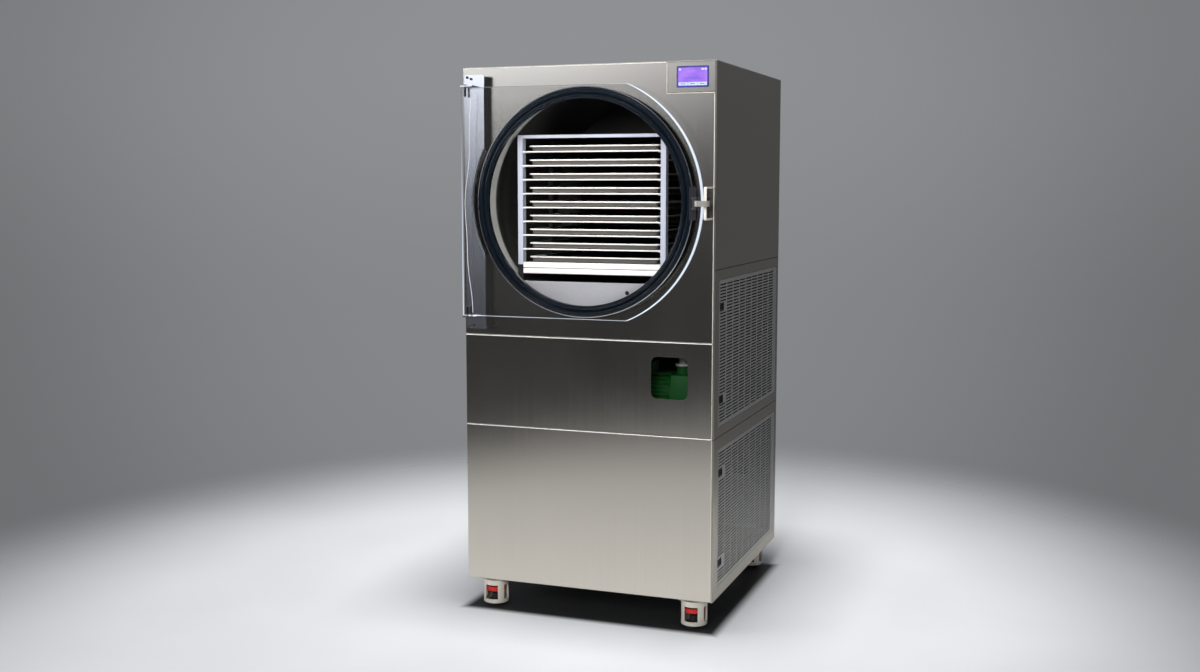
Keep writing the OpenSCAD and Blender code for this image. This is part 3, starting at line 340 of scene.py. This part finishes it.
finish = {
    "panel_steel": brushed("panel_steel_brushed", (0.60, 0.558, 0.488), 0.185, spread=0.5),
    "side_steel": brushed("side_steel_satin", (0.393, 0.361, 0.298), 0.36, spread=0.4),
    "frame_steel": brushed("frame_steel_mill", (0.30, 0.30, 0.30), 0.5, (60, 60, 60), 0.1),
    # the drum's liner is pale near the mouth and dark deeper in: painted shade
    "drum_steel": brushed("drum_steel_rolled", (0.80, 0.78, 0.72), 0.4, (500.0, 4.0, 500.0), 0.12, metal=0.25,
                          fade=(80, 96, 0.07)),
    "bracket_steel": brushed("bracket_steel_brushed", (0.86, 0.86, 0.89), 0.22, (900, 900, 4.0), 0.06,
                             spread=0.5),
    "polished_steel": satin_metal("strike_steel_polished", (0.66, 0.63, 0.56), 0.3, metal=0.3),
    # the rack and the trays darken deeper in the chamber: painted shade
    "rack_alloy": satin_metal("rack_alloy_anodised", (0.58, 0.60, 0.69), 0.38, metal=0.4,
                              fade=(90, 160, 0.08)),
    "tray_steel": brushed("tray_steel_satin", (0.42, 0.395, 0.37), 0.28, (5.0, 400.0, 400.0), 0.06,
                          metal=0.85, fade=(76, 240, 0.2)),
    "gasket_rubber": moulded("gasket_rubber_moulded", (0.004, 0.006, 0.009), 0.1, 300.0, 0.00001,
                             specular=0.22, smudge=0.04),
    "foam_black": moulded("jacket_foam", (0.03, 0.03, 0.032), 0.85, 260.0, 0.0006),
    "clear_acrylic": clear_sheet("door_acrylic", (0.97, 0.985, 0.985), 0.0, 1.0, ior=1.09),
    "black_plastic": moulded("latch_plastic_black", (0.014, 0.014, 0.016), 0.4, specular=0.15),
    "screw_black": satin_metal("screw_steel_dark", (0.12, 0.12, 0.13), 0.35),
    "screen_glass": moulded("screen_glass_dark", (0.012, 0.012, 0.03), 0.12, coat=0.5),
    "pump_green": moulded("pump_enamel_green", (0.006, 0.045, 0.009), 0.35, 500.0, coat=0.1),
    "hose_grey": moulded("hose_rubber_grey", (0.35, 0.36, 0.37), 0.5),
    "line_foam": moulded("line_foam_black", (0.035, 0.035, 0.038), 0.9, 240.0, 0.0006),
    "compressor_black": moulded("compressor_enamel", (0.02, 0.02, 0.022), 0.35, 500.0, coat=0.3),
    "fin_alloy": satin_metal("fin_alloy_bright", (0.66, 0.67, 0.68), 0.35, 400.0),
    "valve_brass": satin_metal("valve_brass_turned", (0.78, 0.56, 0.26), 0.28),
    "lever_red": moulded("lever_vinyl_red", (0.55, 0.03, 0.025), 0.4),
    "caster_ivory": moulded("caster_enamel_ivory", (0.62, 0.58, 0.50), 0.38, 420.0, 0.00006, coat=0.2),
    "wheel_black": moulded("wheel_nylon_black", (0.018, 0.018, 0.02), 0.45),
    "nut_red": moulded("dial_plastic_red", (0.60, 0.025, 0.02), 0.35),
    "pad_rubber": moulded("pad_rubber_black", (0.02, 0.02, 0.021), 0.7, 500.0, 0.0002),
}

# Finishes of single pieces and edges, which the record has no slot for
# the hems are painted pale as a highlight, brighter on the seams than at the corners
seam_painted_highlight = satin_metal("hem_steel_painted_highlight", (0.96, 0.93, 0.87), 0.3, metal=0.25)
corner_painted_highlight = satin_metal("corner_steel_painted_highlight", (0.66, 0.63, 0.56), 0.32, metal=0.3)
# rims of trays and shelves are painted pale: painted highlight
rim_painted_highlight = satin_metal("tray_rim_rolled", (0.96, 0.92, 0.87), 0.3, metal=0.2)
trim_steel = satin_metal("trim_steel_polished", (0.70, 0.69, 0.70), 0.3)
vent_steel = brushed("vent_steel_brushed", (0.35, 0.34, 0.32), 0.42, metal=0.7)
top_steel = brushed("top_steel_brushed", (0.42, 0.405, 0.375), 0.4, (1300.0, 4.0, 1300.0), metal=0.5)
hook_steel = satin_metal("hook_steel_cast", (0.20, 0.20, 0.21), 0.3)
latch_steel = satin_metal("latch_steel_satin", (0.42, 0.40, 0.365), 0.3, metal=0.5)
dam_steel = satin_metal("dam_steel_satin", (0.36, 0.355, 0.375), 0.4, metal=0.3)
# the door's rims glow: painted highlight
painted_glow_acrylic = clear_sheet("door_edge_acrylic", (0.93, 0.96, 1.0), 0.2, 0.9, glow=0.8, ior=1.2)
# a glowing line down the door's face: painted reflection
painted_reflection_line = clear_sheet("door_line_painted_reflection", (0.93, 0.96, 1.0), 0.2, 0.6, glow=0.34)
display_border = lit_field("display_border_blue", (0.04, 0.02, 0.46), (0.06, 0.03, 0.56), 0.9)
display_field = lit_field("display_field_lilac", (0.30, 0.11, 0.82), (0.42, 0.20, 0.90), 1.0)
display_key = lit_field("display_key_cyan", (0.55, 0.72, 0.98), (0.68, 0.84, 1.0), 1.0)
display_mark = lit_field("display_mark_blue", (0.10, 0.10, 0.62), (0.14, 0.14, 0.72), 0.9)

own_finish = {
    "top_cover": top_steel,
    "upper_vent_door": vent_steel,
    "lower_vent_door": vent_steel,
    "latch_base": hook_steel,
    "latch_hook": latch_steel,
}

for part in frame["record"]["subparts"]:
    shown = frame["nodes"][part["node"]]
    shown.data.materials.clear()
    shown.data.materials.append(own_finish.get(part["node"]) or finish[part["material_slot"]])


# Mesh helpers

def mesh_of(name, bm):
    mesh = bpy.data.meshes.new(name)
    bm.to_mesh(mesh)
    bm.free()
    return mesh


def tidy_up(bm):
    """Merges points that meet and turns the faces outwards."""
    bmesh.ops.remove_doubles(bm, verts=bm.verts, dist=MERGE)
    bmesh.ops.recalc_face_normals(bm, faces=bm.faces)


def tidy_mesh(mesh):
    bm = bmesh.new()
    bm.from_mesh(mesh)
    tidy_up(bm)
    bm.to_mesh(mesh)
    bm.free()


def place_piece(name, mesh, materials, body, crease=None, replaced=()):
    """A finished piece at the origin: flat, or smooth between edges that turn by crease degrees."""
    mesh.name = name
    if len(mesh.materials):  # clearing also puts every face back on the first material
        mesh.materials.clear()
    for material in materials:
        mesh.materials.append(material)
    piece = bpy.data.objects.new(name, mesh)
    scene.collection.objects.link(piece)
    if crease:
        mesh.polygons.foreach_set("use_smooth", [True] * len(mesh.polygons))
        mesh.set_sharp_from_angle(angle=math.radians(crease))
    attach(piece, body)
    if replaced:
        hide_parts(*replaced)


def make_piece(name, bm, materials, body, crease=None, replaced=()):
    tidy_up(bm)
    place_piece(name, mesh_of(name, bm), materials, body, crease, replaced)


def skin(bm, rings, closed_ends=True, sides=0, ends=0):
    """Joins closed rings of equal length with faces, and closes the first and last ring.

    Sides and ends are the material's place in the piece's list.
    """
    made = [[bm.verts.new(point) for point in ring] for ring in rings]
    count = len(made[0])
    for near, far in zip(made, made[1:]):
        for k in range(count):
            face = bm.faces.new((near[k], near[(k + 1) % count], far[(k + 1) % count], far[k]))
            face.material_index = sides
    if closed_ends:
        for ring in (made[0], list(reversed(made[-1]))):
            bm.faces.new(ring).material_index = ends
    return made


def turn_steps(count):
    """Angles of equal steps once round."""
    return [math.tau * k / count for k in range(count)]


# Door: one clear sheet with a rounded latch side, bevelled rims and a chamfered hinge side

def door_outline(inset, left):
    """Points round the sheet, in x and z, from the hinge side's foot."""
    radius = door_hi.x - AXIS_X - inset
    half = (door_hi.z - door_lo.z) / 2 - inset
    start = math.asin(half / radius)
    arc = [(AXIS_X + radius * math.cos(a), AXIS_Z + radius * math.sin(a))
           for a in (start * (k / 48 - 1) for k in range(97))]
    return [(left, AXIS_Z - half), *arc, (left, AXIS_Z + half)]


def make_door():
    thick = door_hi.y - door_lo.y
    rim = 1.5 * MM
    chamfer = 6 * MM
    # depth from the front face, inset of the whole outline, inset of the hinge side
    steps = [(0.0, rim, chamfer), (rim * 0.3, rim * 0.35, chamfer - rim * 0.3), (rim, 0.0, chamfer - rim),
             (chamfer, 0.0, 0.0), (thick - chamfer, 0.0, 0.0), (thick - rim, 0.0, chamfer - rim),
             (thick - rim * 0.3, rim * 0.35, chamfer - rim * 0.3), (thick, rim, chamfer)]
    rings = [[(x, door_lo.y + depth, z) for x, z in door_outline(inset, door_lo.x + left)]
             for depth, inset, left in steps]
    bm = bmesh.new()
    skin(bm, rings, sides=1)
    # the rims take the glowing edge finish, a painted highlight
    make_piece("door_sheet", bm, [finish["clear_acrylic"], painted_glow_acrylic], "door",
               crease=20, replaced=["door_panel"])


make_door()


# Geometry node helpers

class Tree:
    """A geometry node tree with named inputs, built here and applied to one piece."""

    def __init__(self, name, sizes):
        self.group = bpy.data.node_groups.new(name, "GeometryNodeTree")
        face = self.group.interface
        face.new_socket("Geometry", in_out="INPUT", socket_type="NodeSocketGeometry")
        face.new_socket("Geometry", in_out="OUTPUT", socket_type="NodeSocketGeometry")
        self.keys = {}
        for label, value in sizes.items():
            kind = "NodeSocketInt" if isinstance(value, int) else "NodeSocketFloat"
            made = face.new_socket(label, in_out="INPUT", socket_type=kind)
            made.default_value = value
            self.keys[made.identifier] = value
        self.given = self.group.nodes.new("NodeGroupInput").outputs
        self.result = self.group.nodes.new("NodeGroupOutput")

    def add(self, kind, **values):
        made = self.group.nodes.new("GeometryNode" + kind)
        for key, value in values.items():
            setattr(made, key, value)
        return made

    def join(self, source, target):
        self.group.links.new(source, target)

    def circle(self, steps, radius):
        """A circle by the names of the inputs for its steps and its radius."""
        made = self.add("CurvePrimitiveCircle", mode="RADIUS")
        self.join(self.given[steps], made.inputs["Resolution"])
        self.join(self.given[radius], made.inputs["Radius"])
        return made.outputs["Curve"]

    def base_paths(self):
        made = self.add("MeshToCurve")
        self.join(self.given["Geometry"], made.inputs["Mesh"])
        return made.outputs["Curve"]

    def sweep(self, path, profile, capped):
        made = self.add("CurveToMesh")
        made.inputs["Fill Caps"].default_value = capped
        self.join(path, made.inputs["Curve"])
        self.join(profile, made.inputs["Profile Curve"])
        return made.outputs["Mesh"]

    def stack(self, piece):
        """Copies of a piece, one above the other, by the inputs Count and Pitch."""
        step = self.group.nodes.new("ShaderNodeCombineXYZ")
        self.join(self.given["Pitch"], step.inputs["Z"])
        line = self.add("MeshLine", mode="OFFSET")
        self.join(self.given["Count"], line.inputs["Count"])
        self.join(step.outputs["Vector"], line.inputs["Offset"])
        made = self.add("InstanceOnPoints")
        self.join(line.outputs["Mesh"], made.inputs["Points"])
        self.join(piece, made.inputs["Instance"])
        return made.outputs["Instances"]

    def end(self, geometry, material):
        real = self.add("RealizeInstances")
        dress = self.add("SetMaterial")
        dress.inputs["Material"].default_value = material
        self.join(geometry, real.inputs["Geometry"])
        self.join(real.outputs["Geometry"], dress.inputs["Geometry"])
        self.join(dress.outputs["Geometry"], self.result.inputs["Geometry"])

    def grow(self, name, base):
        """Runs the tree on a base mesh and hands back the plain mesh that it makes."""
        carrier = bpy.data.objects.new(name + "_base", base)
        scene.collection.objects.link(carrier)
        modifier = carrier.modifiers.new("grow", "NODES")
        modifier.node_group = self.group
        for identifier, value in self.keys.items():
            modifier[identifier] = value
        bpy.context.view_layer.update()
        ready = carrier.evaluated_get(bpy.context.evaluated_depsgraph_get())
        mesh = bpy.data.meshes.new_from_object(ready)
        carrier.modifiers.clear()
        bpy.data.objects.remove(carrier)
        return mesh


def wire_mesh(name, lines, closed=False):
    """A mesh of edges only, one chain for each list of points."""
    bm = bmesh.new()
    for line in lines:
        verts = [bm.verts.new(point) for point in line]
        for near, far in zip(verts, verts[1:]):
            bm.edges.new((near, far))
        if closed:
            bm.edges.new((verts[-1], verts[0]))
    return mesh_of(name, bm)


def make_bead(name, lines, radius, material, body, crease=50, steps=10, closed=False):
    """A piece made of round beads along lines."""
    tree = Tree(name + "_sweep", {"Bead Radius": radius, "Round Steps": steps})
    tree.end(tree.sweep(tree.base_paths(), tree.circle("Round Steps", "Bead Radius"), capped=True), material)
    mesh = tree.grow(name, wire_mesh(name + "_paths", lines, closed))
    tidy_mesh(mesh)
    place_piece(name, mesh, [material], body, crease)


# Gasket: one lip profile swept round the chamber's mouth

def lip_profile():
    """The gasket's section in millimetres, as radius and depth, from its inner edge round to the back."""
    beads = [(331.0, -28.2, 8.0), (346.5, -28.2, 7.0), (354.0, -24.0, 6.0)]  # centre's radius and depth, size
    inner, wide, steps = 323.0, 37.0, 74
    line = []
    for k in range(steps + 1):
        r = inner + wide * (0.5 - 0.5 * math.cos(math.pi * k / steps))
        tops = [y - math.sqrt(max(0.0, b * b - (r - c) ** 2)) for c, y, b in beads if abs(r - c) <= b]
        tops.append(-28.0 if r <= 358.0 else 0.0)
        line.append((r, min(tops)))
    line += [(359.6, -21.8), (358.0, -19.6), (358.0, -14.0), (349.2, -14.0), (349.2, -22.2),
             (344.8, -22.2), (344.8, -14.0), (inner, -14.0)]
    return line


def make_gasket():
    tree = Tree("gasket_sweep", {"Turns Of The Ring": 192, "Ring Size": 1.0})
    ring = tree.circle("Turns Of The Ring", "Ring Size")
    tree.end(tree.sweep(ring, tree.base_paths(), capped=False), finish["gasket_rubber"])
    points = [(r * MM - 1.0, -y * MM, 0.0) for r, y in lip_profile()]
    mesh = tree.grow("gasket", wire_mesh("lip_section", [points], closed=True))
    for vert in mesh.vertices:
        across, up, out = vert.co
        vert.co = (AXIS_X + across * SEAL_SCALE, FRONT + out, AXIS_Z + up * SEAL_SCALE)
    tidy_mesh(mesh)
    place_piece("gasket_ring", mesh, [finish["gasket_rubber"]], "cabinet", crease=40,
                replaced=["door_gasket"])


make_gasket()


# Trays: one pressed pan with a rolled rim, repeated up the rack

PAN_SECTION = [  # outwards and upwards in mm, from the middle of the underside round the rim to the floor
    (-40, 0), (-14, 0), (-11.2, 0.5), (-9.6, 1.9), (-9.0, 4), (-8.1, 13.2), (-6.8, 14.6), (-4.4, 14.2),
    (-2.0, 13.9), (-0.7, 14.5), (-0.1, 16.2), (0, 17.4), (-0.3, 18.5), (-1.3, 19.0), (-6.2, 19.0),
    (-8.2, 18.1), (-9.2, 16.2), (-10.2, 4.4), (-11.0, 2.6), (-12.6, 1.5), (-15.5, 1.2), (-40, 1.2)]
PAINTED_RIM_FROM = 13.6 * MM  # the rim's pale colour, a painted highlight, starts at this height of a pan


def pan_ring(half_x, near_y, far_y, grow, height):
    """A rounded rectangle's points at one height, grown outwards from the pan's outline."""
    radius = max(20 * MM + grow, 4 * MM)
    x1 = half_x + grow
    y0, y1 = near_y - grow, far_y + grow
    points = []
    for cx, cy, turn in ((x1 - radius, y1 - radius, 0), (radius - x1, y1 - radius, 90),
                         (radius - x1, y0 + radius, 180), (x1 - radius, y0 + radius, 270)):
        for k in range(9):
            a = math.radians(turn + 90 * k / 8)
            points.append((AXIS_X + cx + radius * math.cos(a), cy + radius * math.sin(a), height))
    return points


def make_trays():
    half = (tray_hi.x - tray_lo.x) / 2
    bm = bmesh.new()
    skin(bm, [pan_ring(half, tray_lo.y, tray_hi.y, out * MM, tray_lo.z + up * MM) for out, up in PAN_SECTION])
    bmesh.ops.recalc_face_normals(bm, faces=bm.faces)
    tree = Tree("tray_stack", {"Count": TRAY_COUNT, "Pitch": TRAY_PITCH})
    tree.end(tree.stack(tree.given["Geometry"]), finish["tray_steel"])
    mesh = tree.grow("trays", mesh_of("tray_pan", bm))
    place_piece("tray_pans", mesh, [finish["tray_steel"], rim_painted_highlight], "cabinet", crease=50,
                replaced=["trays"])
    # faces above the rim's height take the pale rim colour: painted highlight
    for face in mesh.polygons:
        if (face.center.z - tray_lo.z) % TRAY_PITCH > PAINTED_RIM_FROM:
            face.material_index = 1


make_trays()


# Dam: the pale plate across the foot of the chamber's mouth

def make_dam():
    radius = 344.5 * MM * SEAL_SCALE
    drop = 250.5 * MM * SEAL_SCALE
    face = FRONT + 4.9 * MM
    rings = []
    for depth, inset in ((0.0, 0.5), (0.15, 0.12), (0.5, 0.0), (1.0, 0.0)):
        r, d = radius - inset * MM, drop + inset * MM
        turn = math.acos(d / r)
        arc = [-math.pi / 2 - turn + 2 * turn * k / 48 for k in range(49)]
        rings.append([(AXIS_X + r * math.cos(a), face + depth * MM, AXIS_Z + r * math.sin(a)) for a in arc])
    bm = bmesh.new()
    skin(bm, rings)
    grommet_x, grommet_z, grommet_r = AXIS_X + 138 * MM, AXIS_Z - 281 * MM, 6.5
    lip = [[(grommet_x + (grommet_r + out) * MM * math.cos(a), face - up * MM,
             grommet_z + (grommet_r + out) * MM * math.sin(a)) for a in turn_steps(24)]
           for out, up in ((0, -0.3), (0, 0.9), (-0.4, 1.3), (-1.6, 1.3), (-2.0, 0.9), (-2.0, 0.1))]
    skin(bm, lip, sides=1, ends=1)
    make_piece("dam_plate", bm, [dam_steel, finish["black_plastic"]], "cabinet", crease=25)


make_dam()


# Display: dark glass with a lit field, three keys and a plain status row

def slab(bm, x0, x1, z0, z1, face, thick, index, corner):
    """A thin raised plate with a softened rim, facing the front."""
    rings = []
    for depth, inset in ((0.0, corner), (corner * 0.6, corner * 0.2), (corner, 0.0), (thick, 0.0)):
        a, b, c, d = x0 + inset, x1 - inset, z0 + inset, z1 - inset
        r = min(corner * 2, (b - a) / 3, (d - c) / 3)
        ring = []
        for px, pz, turn in ((b - r, d - r, 0), (a + r, d - r, 90), (a + r, c + r, 180), (b - r, c + r, 270)):
            for k in range(4):
                t = math.radians(turn + 30 * k)
                ring.append((px + r * math.cos(t), face + depth, pz + r * math.sin(t)))
        rings.append(ring)
    skin(bm, rings, sides=index, ends=index)


def make_display():
    x0, x1, z0, z1 = screen_lo.x, screen_hi.x, screen_lo.z, screen_hi.z
    glass_y = screen_lo.y
    border, edge = 2 * MM, 5.5 * MM
    glass, blue, field, key_blue, mark = range(5)
    bm = bmesh.new()
    slab(bm, x0, x1, z0, z1, glass_y, screen_hi.y - glass_y, glass, 1.0 * MM)
    slab(bm, x0 + border, x1 - border, z0 + border, z1 - border, glass_y - 0.15 * MM, 0.6 * MM, blue, 0.2 * MM)
    left, right = x0 + edge, x1 - edge
    foot, head = z0 + 5 * MM, z1 - 5 * MM
    slab(bm, left, right, foot, head, glass_y - 0.3 * MM, 0.5 * MM, field, 0.12 * MM)
    key = (right - left - 4 * MM) / 3
    for k in range(3):
        a = left + 1 * MM + k * (key + 1 * MM)
        slab(bm, a, a + key, foot + 1 * MM, foot + 10.5 * MM, glass_y - 0.5 * MM, 0.4 * MM, key_blue, 0.12 * MM)
        slab(bm, a + key * 0.25, a + key * 0.75, foot + 4.6 * MM, foot + 6.6 * MM, glass_y - 0.58 * MM,
             0.2 * MM, mark, 0.05 * MM)
    # plain bars: start and end as shares of the field's width, top and bottom in mm below its head
    bars = [(0.36, 0.64, 4.2, 5.6, mark), (0.80, 0.89, 2.4, 8.0, key_blue), (0.91, 0.98, 2.4, 8.0, key_blue),
            (0.02, 0.09, 2.4, 8.0, key_blue), (0.30, 0.70, 28.0, 29.2, mark), (0.24, 0.76, 32.0, 33.2, mark)]
    for start, end, top, bottom, index in bars:
        slab(bm, left + (right - left) * start, left + (right - left) * end, head - bottom * MM,
             head - top * MM, glass_y - 0.45 * MM, 0.3 * MM, index, 0.08 * MM)
    make_piece("display_unit", bm,
               [finish["screen_glass"], display_border, display_field, display_key, display_mark],
               "cabinet", replaced=["display_screen"])


make_display()


# Hems: the folded edges round the front panels, their beads painted pale as a highlight

def make_hems():
    y = FRONT + 0.9 * MM
    x0, x1 = panel_lo.x + 1.2 * MM, panel_hi.x - 1.2 * MM
    low_top = panel_hi.z - 1.0 * MM
    mid_top = middle_hi.z - 1.0 * MM
    edge = fascia_lo.x - 2.6 * MM
    sill = fascia_lo.z - 2.6 * MM
    top = upper_hi.z - 1.2 * MM
    right = upper_hi.x - 1.0 * MM
    gap = 3 * MM
    seams = [
        [(x0, y, low_top), (x1, y, low_top)],
        [(x0, y, mid_top), (x1, y, mid_top)],
    ]
    corners = [
        [(edge, y, top), (edge, y, sill), (right, y, sill)],
        [(x0, y, top), (edge - 4 * MM, y, top)],
        [(right, y, panel_lo.z + 2 * MM), (right, y, low_top - gap)],
        [(right, y, low_top + gap), (right, y, mid_top - gap)],
        [(right, y, mid_top + gap), (right, y, sill - gap)],
    ]
    # painted highlight along the seams and corners
    for name, lines, material in (("seam_hems", seams, seam_painted_highlight), ("corner_hems", corners, corner_painted_highlight)):
        make_bead(name, lines, 1.5 * MM, material, "cabinet", crease=40, steps=8)


make_hems()


# Rings and edges: the seal's trim ring, the hinge plate's rolled notch and a glowing line down the door, a
# painted reflection of its hinge edge

def make_seal_trim():
    radius = 358.8 * MM * SEAL_SCALE
    ring = [(AXIS_X + radius * math.cos(a), FRONT - 27.4 * MM, AXIS_Z + radius * math.sin(a))
            for a in turn_steps(192)]
    make_bead("seal_trim_ring", [ring], 1.5 * MM, trim_steel, "cabinet", closed=True)


def make_notch_lip():
    """The hinge plate's edge, rolled round the seal."""
    reach = AXIS_X - plate_hi.x
    face = FRONT - 33.5 * MM
    arcs = []
    # radius and depth in mm, once round the lip's section
    for radius, depth in ((378.4, 0.4), (378.4, 0.0), (372.4, 0.0), (371.4, 0.4), (371.0, 1.2), (371.0, 31.5),
                          (373.6, 31.5), (373.6, 3.0), (378.4, 3.0)):
        turn = math.acos(reach / (radius * MM))
        arcs.append([(AXIS_X - radius * MM * math.cos(a), face + depth * MM, AXIS_Z + radius * MM * math.sin(a))
                     for a in (turn * (k / 24 - 1) for k in range(49))])
    bm = bmesh.new()
    skin(bm, list(zip(*arcs)))
    make_piece("hinge_notch_lip", bm, [finish["bracket_steel"]], "cabinet", crease=30)


def make_painted_reflection_line():
    """A glowing bead down the sheet's face: a painted reflection of its polished hinge edge."""
    tall = door_hi.z - door_lo.z
    line = []
    for k in range(81):
        t = k / 80
        away = 26 + 10 * math.cos(math.tau * 1.08 * (t - 0.1)) + 2.5 * math.cos(math.tau * 3.1 * t)
        line.append((door_lo.x + away * MM, door_lo.y - 0.1 * MM, door_hi.z - (0.012 + 0.976 * t) * tall))
    make_bead("door_edge_line", [line], 0.9 * MM, painted_reflection_line, "door")


make_seal_trim()
make_notch_lip()
make_painted_reflection_line()


# Shelves: the rolled front edge of every shelf, and the bands of the folded bottom shelf, in the rims' pale
# painted highlight

def make_shelf_fronts():
    half = 232.8 * MM
    near = FRONT + 51.6 * MM
    level = tray_lo.z - 1.4 * MM
    tree = Tree("shelf_lip_stack", {"Count": TRAY_COUNT, "Pitch": TRAY_PITCH, "Lip Radius": 2.5 * MM,
                                    "Round Steps": 10})
    lip = tree.sweep(tree.base_paths(), tree.circle("Round Steps", "Lip Radius"), capped=True)
    tree.end(tree.stack(lip), rim_painted_highlight)
    path = [(AXIS_X - half, near, level), (AXIS_X + half, near, level)]
    mesh = tree.grow("shelf_lips", wire_mesh("lip_path", [path]))
    tidy_mesh(mesh)
    place_piece("shelf_lips", mesh, [rim_painted_highlight], "cabinet", crease=40)
    bm = bmesh.new()
    foot = level + 1.5 * MM
    for top, bottom in ((3.6, 16.8), (18.9, 35.4)):
        slab(bm, AXIS_X - half, AXIS_X + half, foot - bottom * MM, foot - top * MM, FRONT + 48.6 * MM,
             1.6 * MM, 0, 1.2 * MM)
    make_piece("shelf_fold_faces", bm, [rim_painted_highlight], "cabinet", crease=50)


make_shelf_fronts()


# Studio

def direction_part(tree, axis):
    """How far a ray points along an axis, from -1 to 1."""
    towards = put(tree, "VectorMath", operation="DOT_PRODUCT")
    towards.inputs[1].default_value = Vector(axis).normalized()
    tree.links.new(put(tree, "TexCoord").outputs["Generated"], towards.inputs[0])
    return towards.outputs["Value"]


def background(tree, strength, colour):
    made = put(tree, "Background")
    made.inputs["Color"].default_value = (*colour, 1.0)
    feed(tree, made.inputs["Strength"], strength)
    return made.outputs["Background"]


def make_world():
    """A grey studio: a plain wall, and a broad soft light high on the front left, which metal shows."""
    world = bpy.data.worlds.new("studio_world")
    scene.world = world
    world.use_nodes = True
    tree = world.node_tree
    tree.nodes.clear()
    height = direction_part(tree, (0, 0, 1))
    behind = direction_part(tree, (0, 1, 0))
    # the wall as seen straight on: a little paler behind the machine and above the horizon
    glow = smooth(tree, direction_part(tree, (-0.36, 0.93, -0.02)), 0.9, 1.0, 0.18, 0.262)
    wall = calc(tree, "ADD", glow, smooth(tree, height, -0.10, 0.10, -0.02, 0.02))
    # the room as the metal shows it: paler behind than ahead, and dim overhead
    sides = calc(tree, "ADD", smooth(tree, behind, -1.0, 1.0, 0.03, 0.14),
                 smooth(tree, height, 0.0, 0.4, 0.0, 0.1))
    room = calc(tree, "MULTIPLY", sides, smooth(tree, height, 0.3, 0.7, 1.0, 0.3))
    # the broad light on the front left, and a small one high above the front
    key_side = smooth(tree, direction_part(tree, (-1, -1, 0)), 0.79, 0.97, 0.0, 2.75)
    key_height = calc(tree, "MULTIPLY", smooth(tree, height, 0.014, 0.135), smooth(tree, height, 0.45, 0.2))
    crown = smooth(tree, direction_part(tree, (0.1, -0.42, 0.9)), 0.972, 0.99, 0.0, 2.5)
    lights = calc(tree, "ADD", calc(tree, "MULTIPLY", key_side, key_height), crown)
    # a ray that goes straight, or only through the clear door, sees the wall
    path = put(tree, "LightPath").outputs
    mirrored = calc(tree, "GREATER_THAN", path["Glossy Depth"], 0.5)
    through = calc(tree, "SUBTRACT", path["Is Transmission Ray"], mirrored)
    straight = calc(tree, "MAXIMUM", path["Is Camera Ray"], through)
    final = chosen(tree, straight,
                   background(tree, calc(tree, "ADD", room, lights), (0.935, 0.98, 1.085)),
                   background(tree, wall, (0.98, 1.0, 1.04)))
    tree.links.new(final, put(tree, "OutputWorld").inputs["Surface"])


make_world()


def floor_paint():
    """Pale floor paint, dark in the machine's contact shadow, which fades into the grey of the room."""
    material, tree, shader = blank("studio_floor_paint")
    cloud = grain(tree, (1.2, 1.2, 1.2), 3.0)
    spot = place_of(tree)
    # the contact shadow, by the distance outside the machine's foot
    half_x, half_y = cad_bounds[1][0], cad_bounds[1][1] - 0.1
    beside = calc(tree, "SUBTRACT", calc(tree, "ABSOLUTE", spot["X"]), half_x)
    before = calc(tree, "SUBTRACT", calc(tree, "ABSOLUTE", spot["Y"]), half_y)
    clear = smooth(tree, calc(tree, "MAXIMUM", beside, before), -0.01, 0.035, 0.03, 1.0)
    paint = tint(tree, cloud, (0.78, 0.79, 0.80), (0.83, 0.84, 0.85))
    feed(tree, shader.inputs["Base Color"], dim(tree, paint, clear))
    feed(tree, shader.inputs["Roughness"], span(tree, cloud, 0.5, 0.62))
    relief(tree, shader, grain(tree, (300.0, 300.0, 300.0), 2.0), 0.0002)
    # the pool of light is an oval round the machine, drawn out towards the front past one metre
    past = calc(tree, "MINIMUM", calc(tree, "ADD", spot["Y"], 1.0), 0.0)
    along = calc(tree, "ADD", calc(tree, "MAXIMUM", spot["Y"], -1.0), calc(tree, "MULTIPLY", past, 0.66))
    reach = put(tree, "CombineXYZ")
    feed(tree, reach.inputs["X"], calc(tree, "ADD", spot["X"], 0.1))
    feed(tree, reach.inputs["Y"], calc(tree, "MULTIPLY", calc(tree, "ADD", along, 0.37), 0.83))
    far = put(tree, "VectorMath", operation="LENGTH")
    tree.links.new(reach.outputs[0], far.inputs[0])
    fade = smooth(tree, far.outputs["Value"], 1.3, 2.7)
    beyond = put(tree, "BsdfTransparent")
    show(tree, chosen(tree, fade, shader.outputs["BSDF"], beyond.outputs["BSDF"]))
    return material


def make_floor():
    bm = bmesh.new()
    made = skin(bm, [[(r * math.cos(a), r * math.sin(a), 0.0) for a in turn_steps(96)]
                     for r in (0.6, 1.5, 3.0, 6.0, 12.0, 40.0)], closed_ends=False)
    bm.faces.new(made[0])
    bmesh.ops.recalc_face_normals(bm, faces=bm.faces)
    for face in bm.faces:
        if face.normal.z < 0:
            face.normal_flip()
    floor = bpy.data.objects.new("studio_floor", mesh_of("studio_floor", bm))
    scene.collection.objects.link(floor)
    floor.data.materials.append(floor_paint())


make_floor()


def add_lamp(name, place, target, size, watts, fan):
    """A square soft lamp, which shows in no metal. Its light leaves within a fan of degrees."""
    data = bpy.data.lights.new(name, "AREA")
    data.size = size
    data.energy = watts
    data.spread = math.radians(fan)
    lamp = bpy.data.objects.new(name, data)
    lamp.location = place
    lamp.rotation_euler = (Vector(target) - Vector(place)).to_track_quat("-Z", "Y").to_euler()
    scene.collection.objects.link(lamp)
    lamp.visible_camera = lamp.visible_transmission = lamp.visible_glossy = False


add_lamp("softbox_overhead", (0.1, -0.35, 6.0), (0.1, -0.35, 0.0), 1.3, 290, 180)
add_lamp("softbox_right", (3.2, -2.6, 1.8), (0.4, -0.4, 1.45), 1.0, 5, 45)
add_lamp("softbox_front", (0.2, -4.2, 2.6), (0.0, -0.2, 1.75), 1.8, 30, 55)

scene.view_settings.view_transform = "Standard"
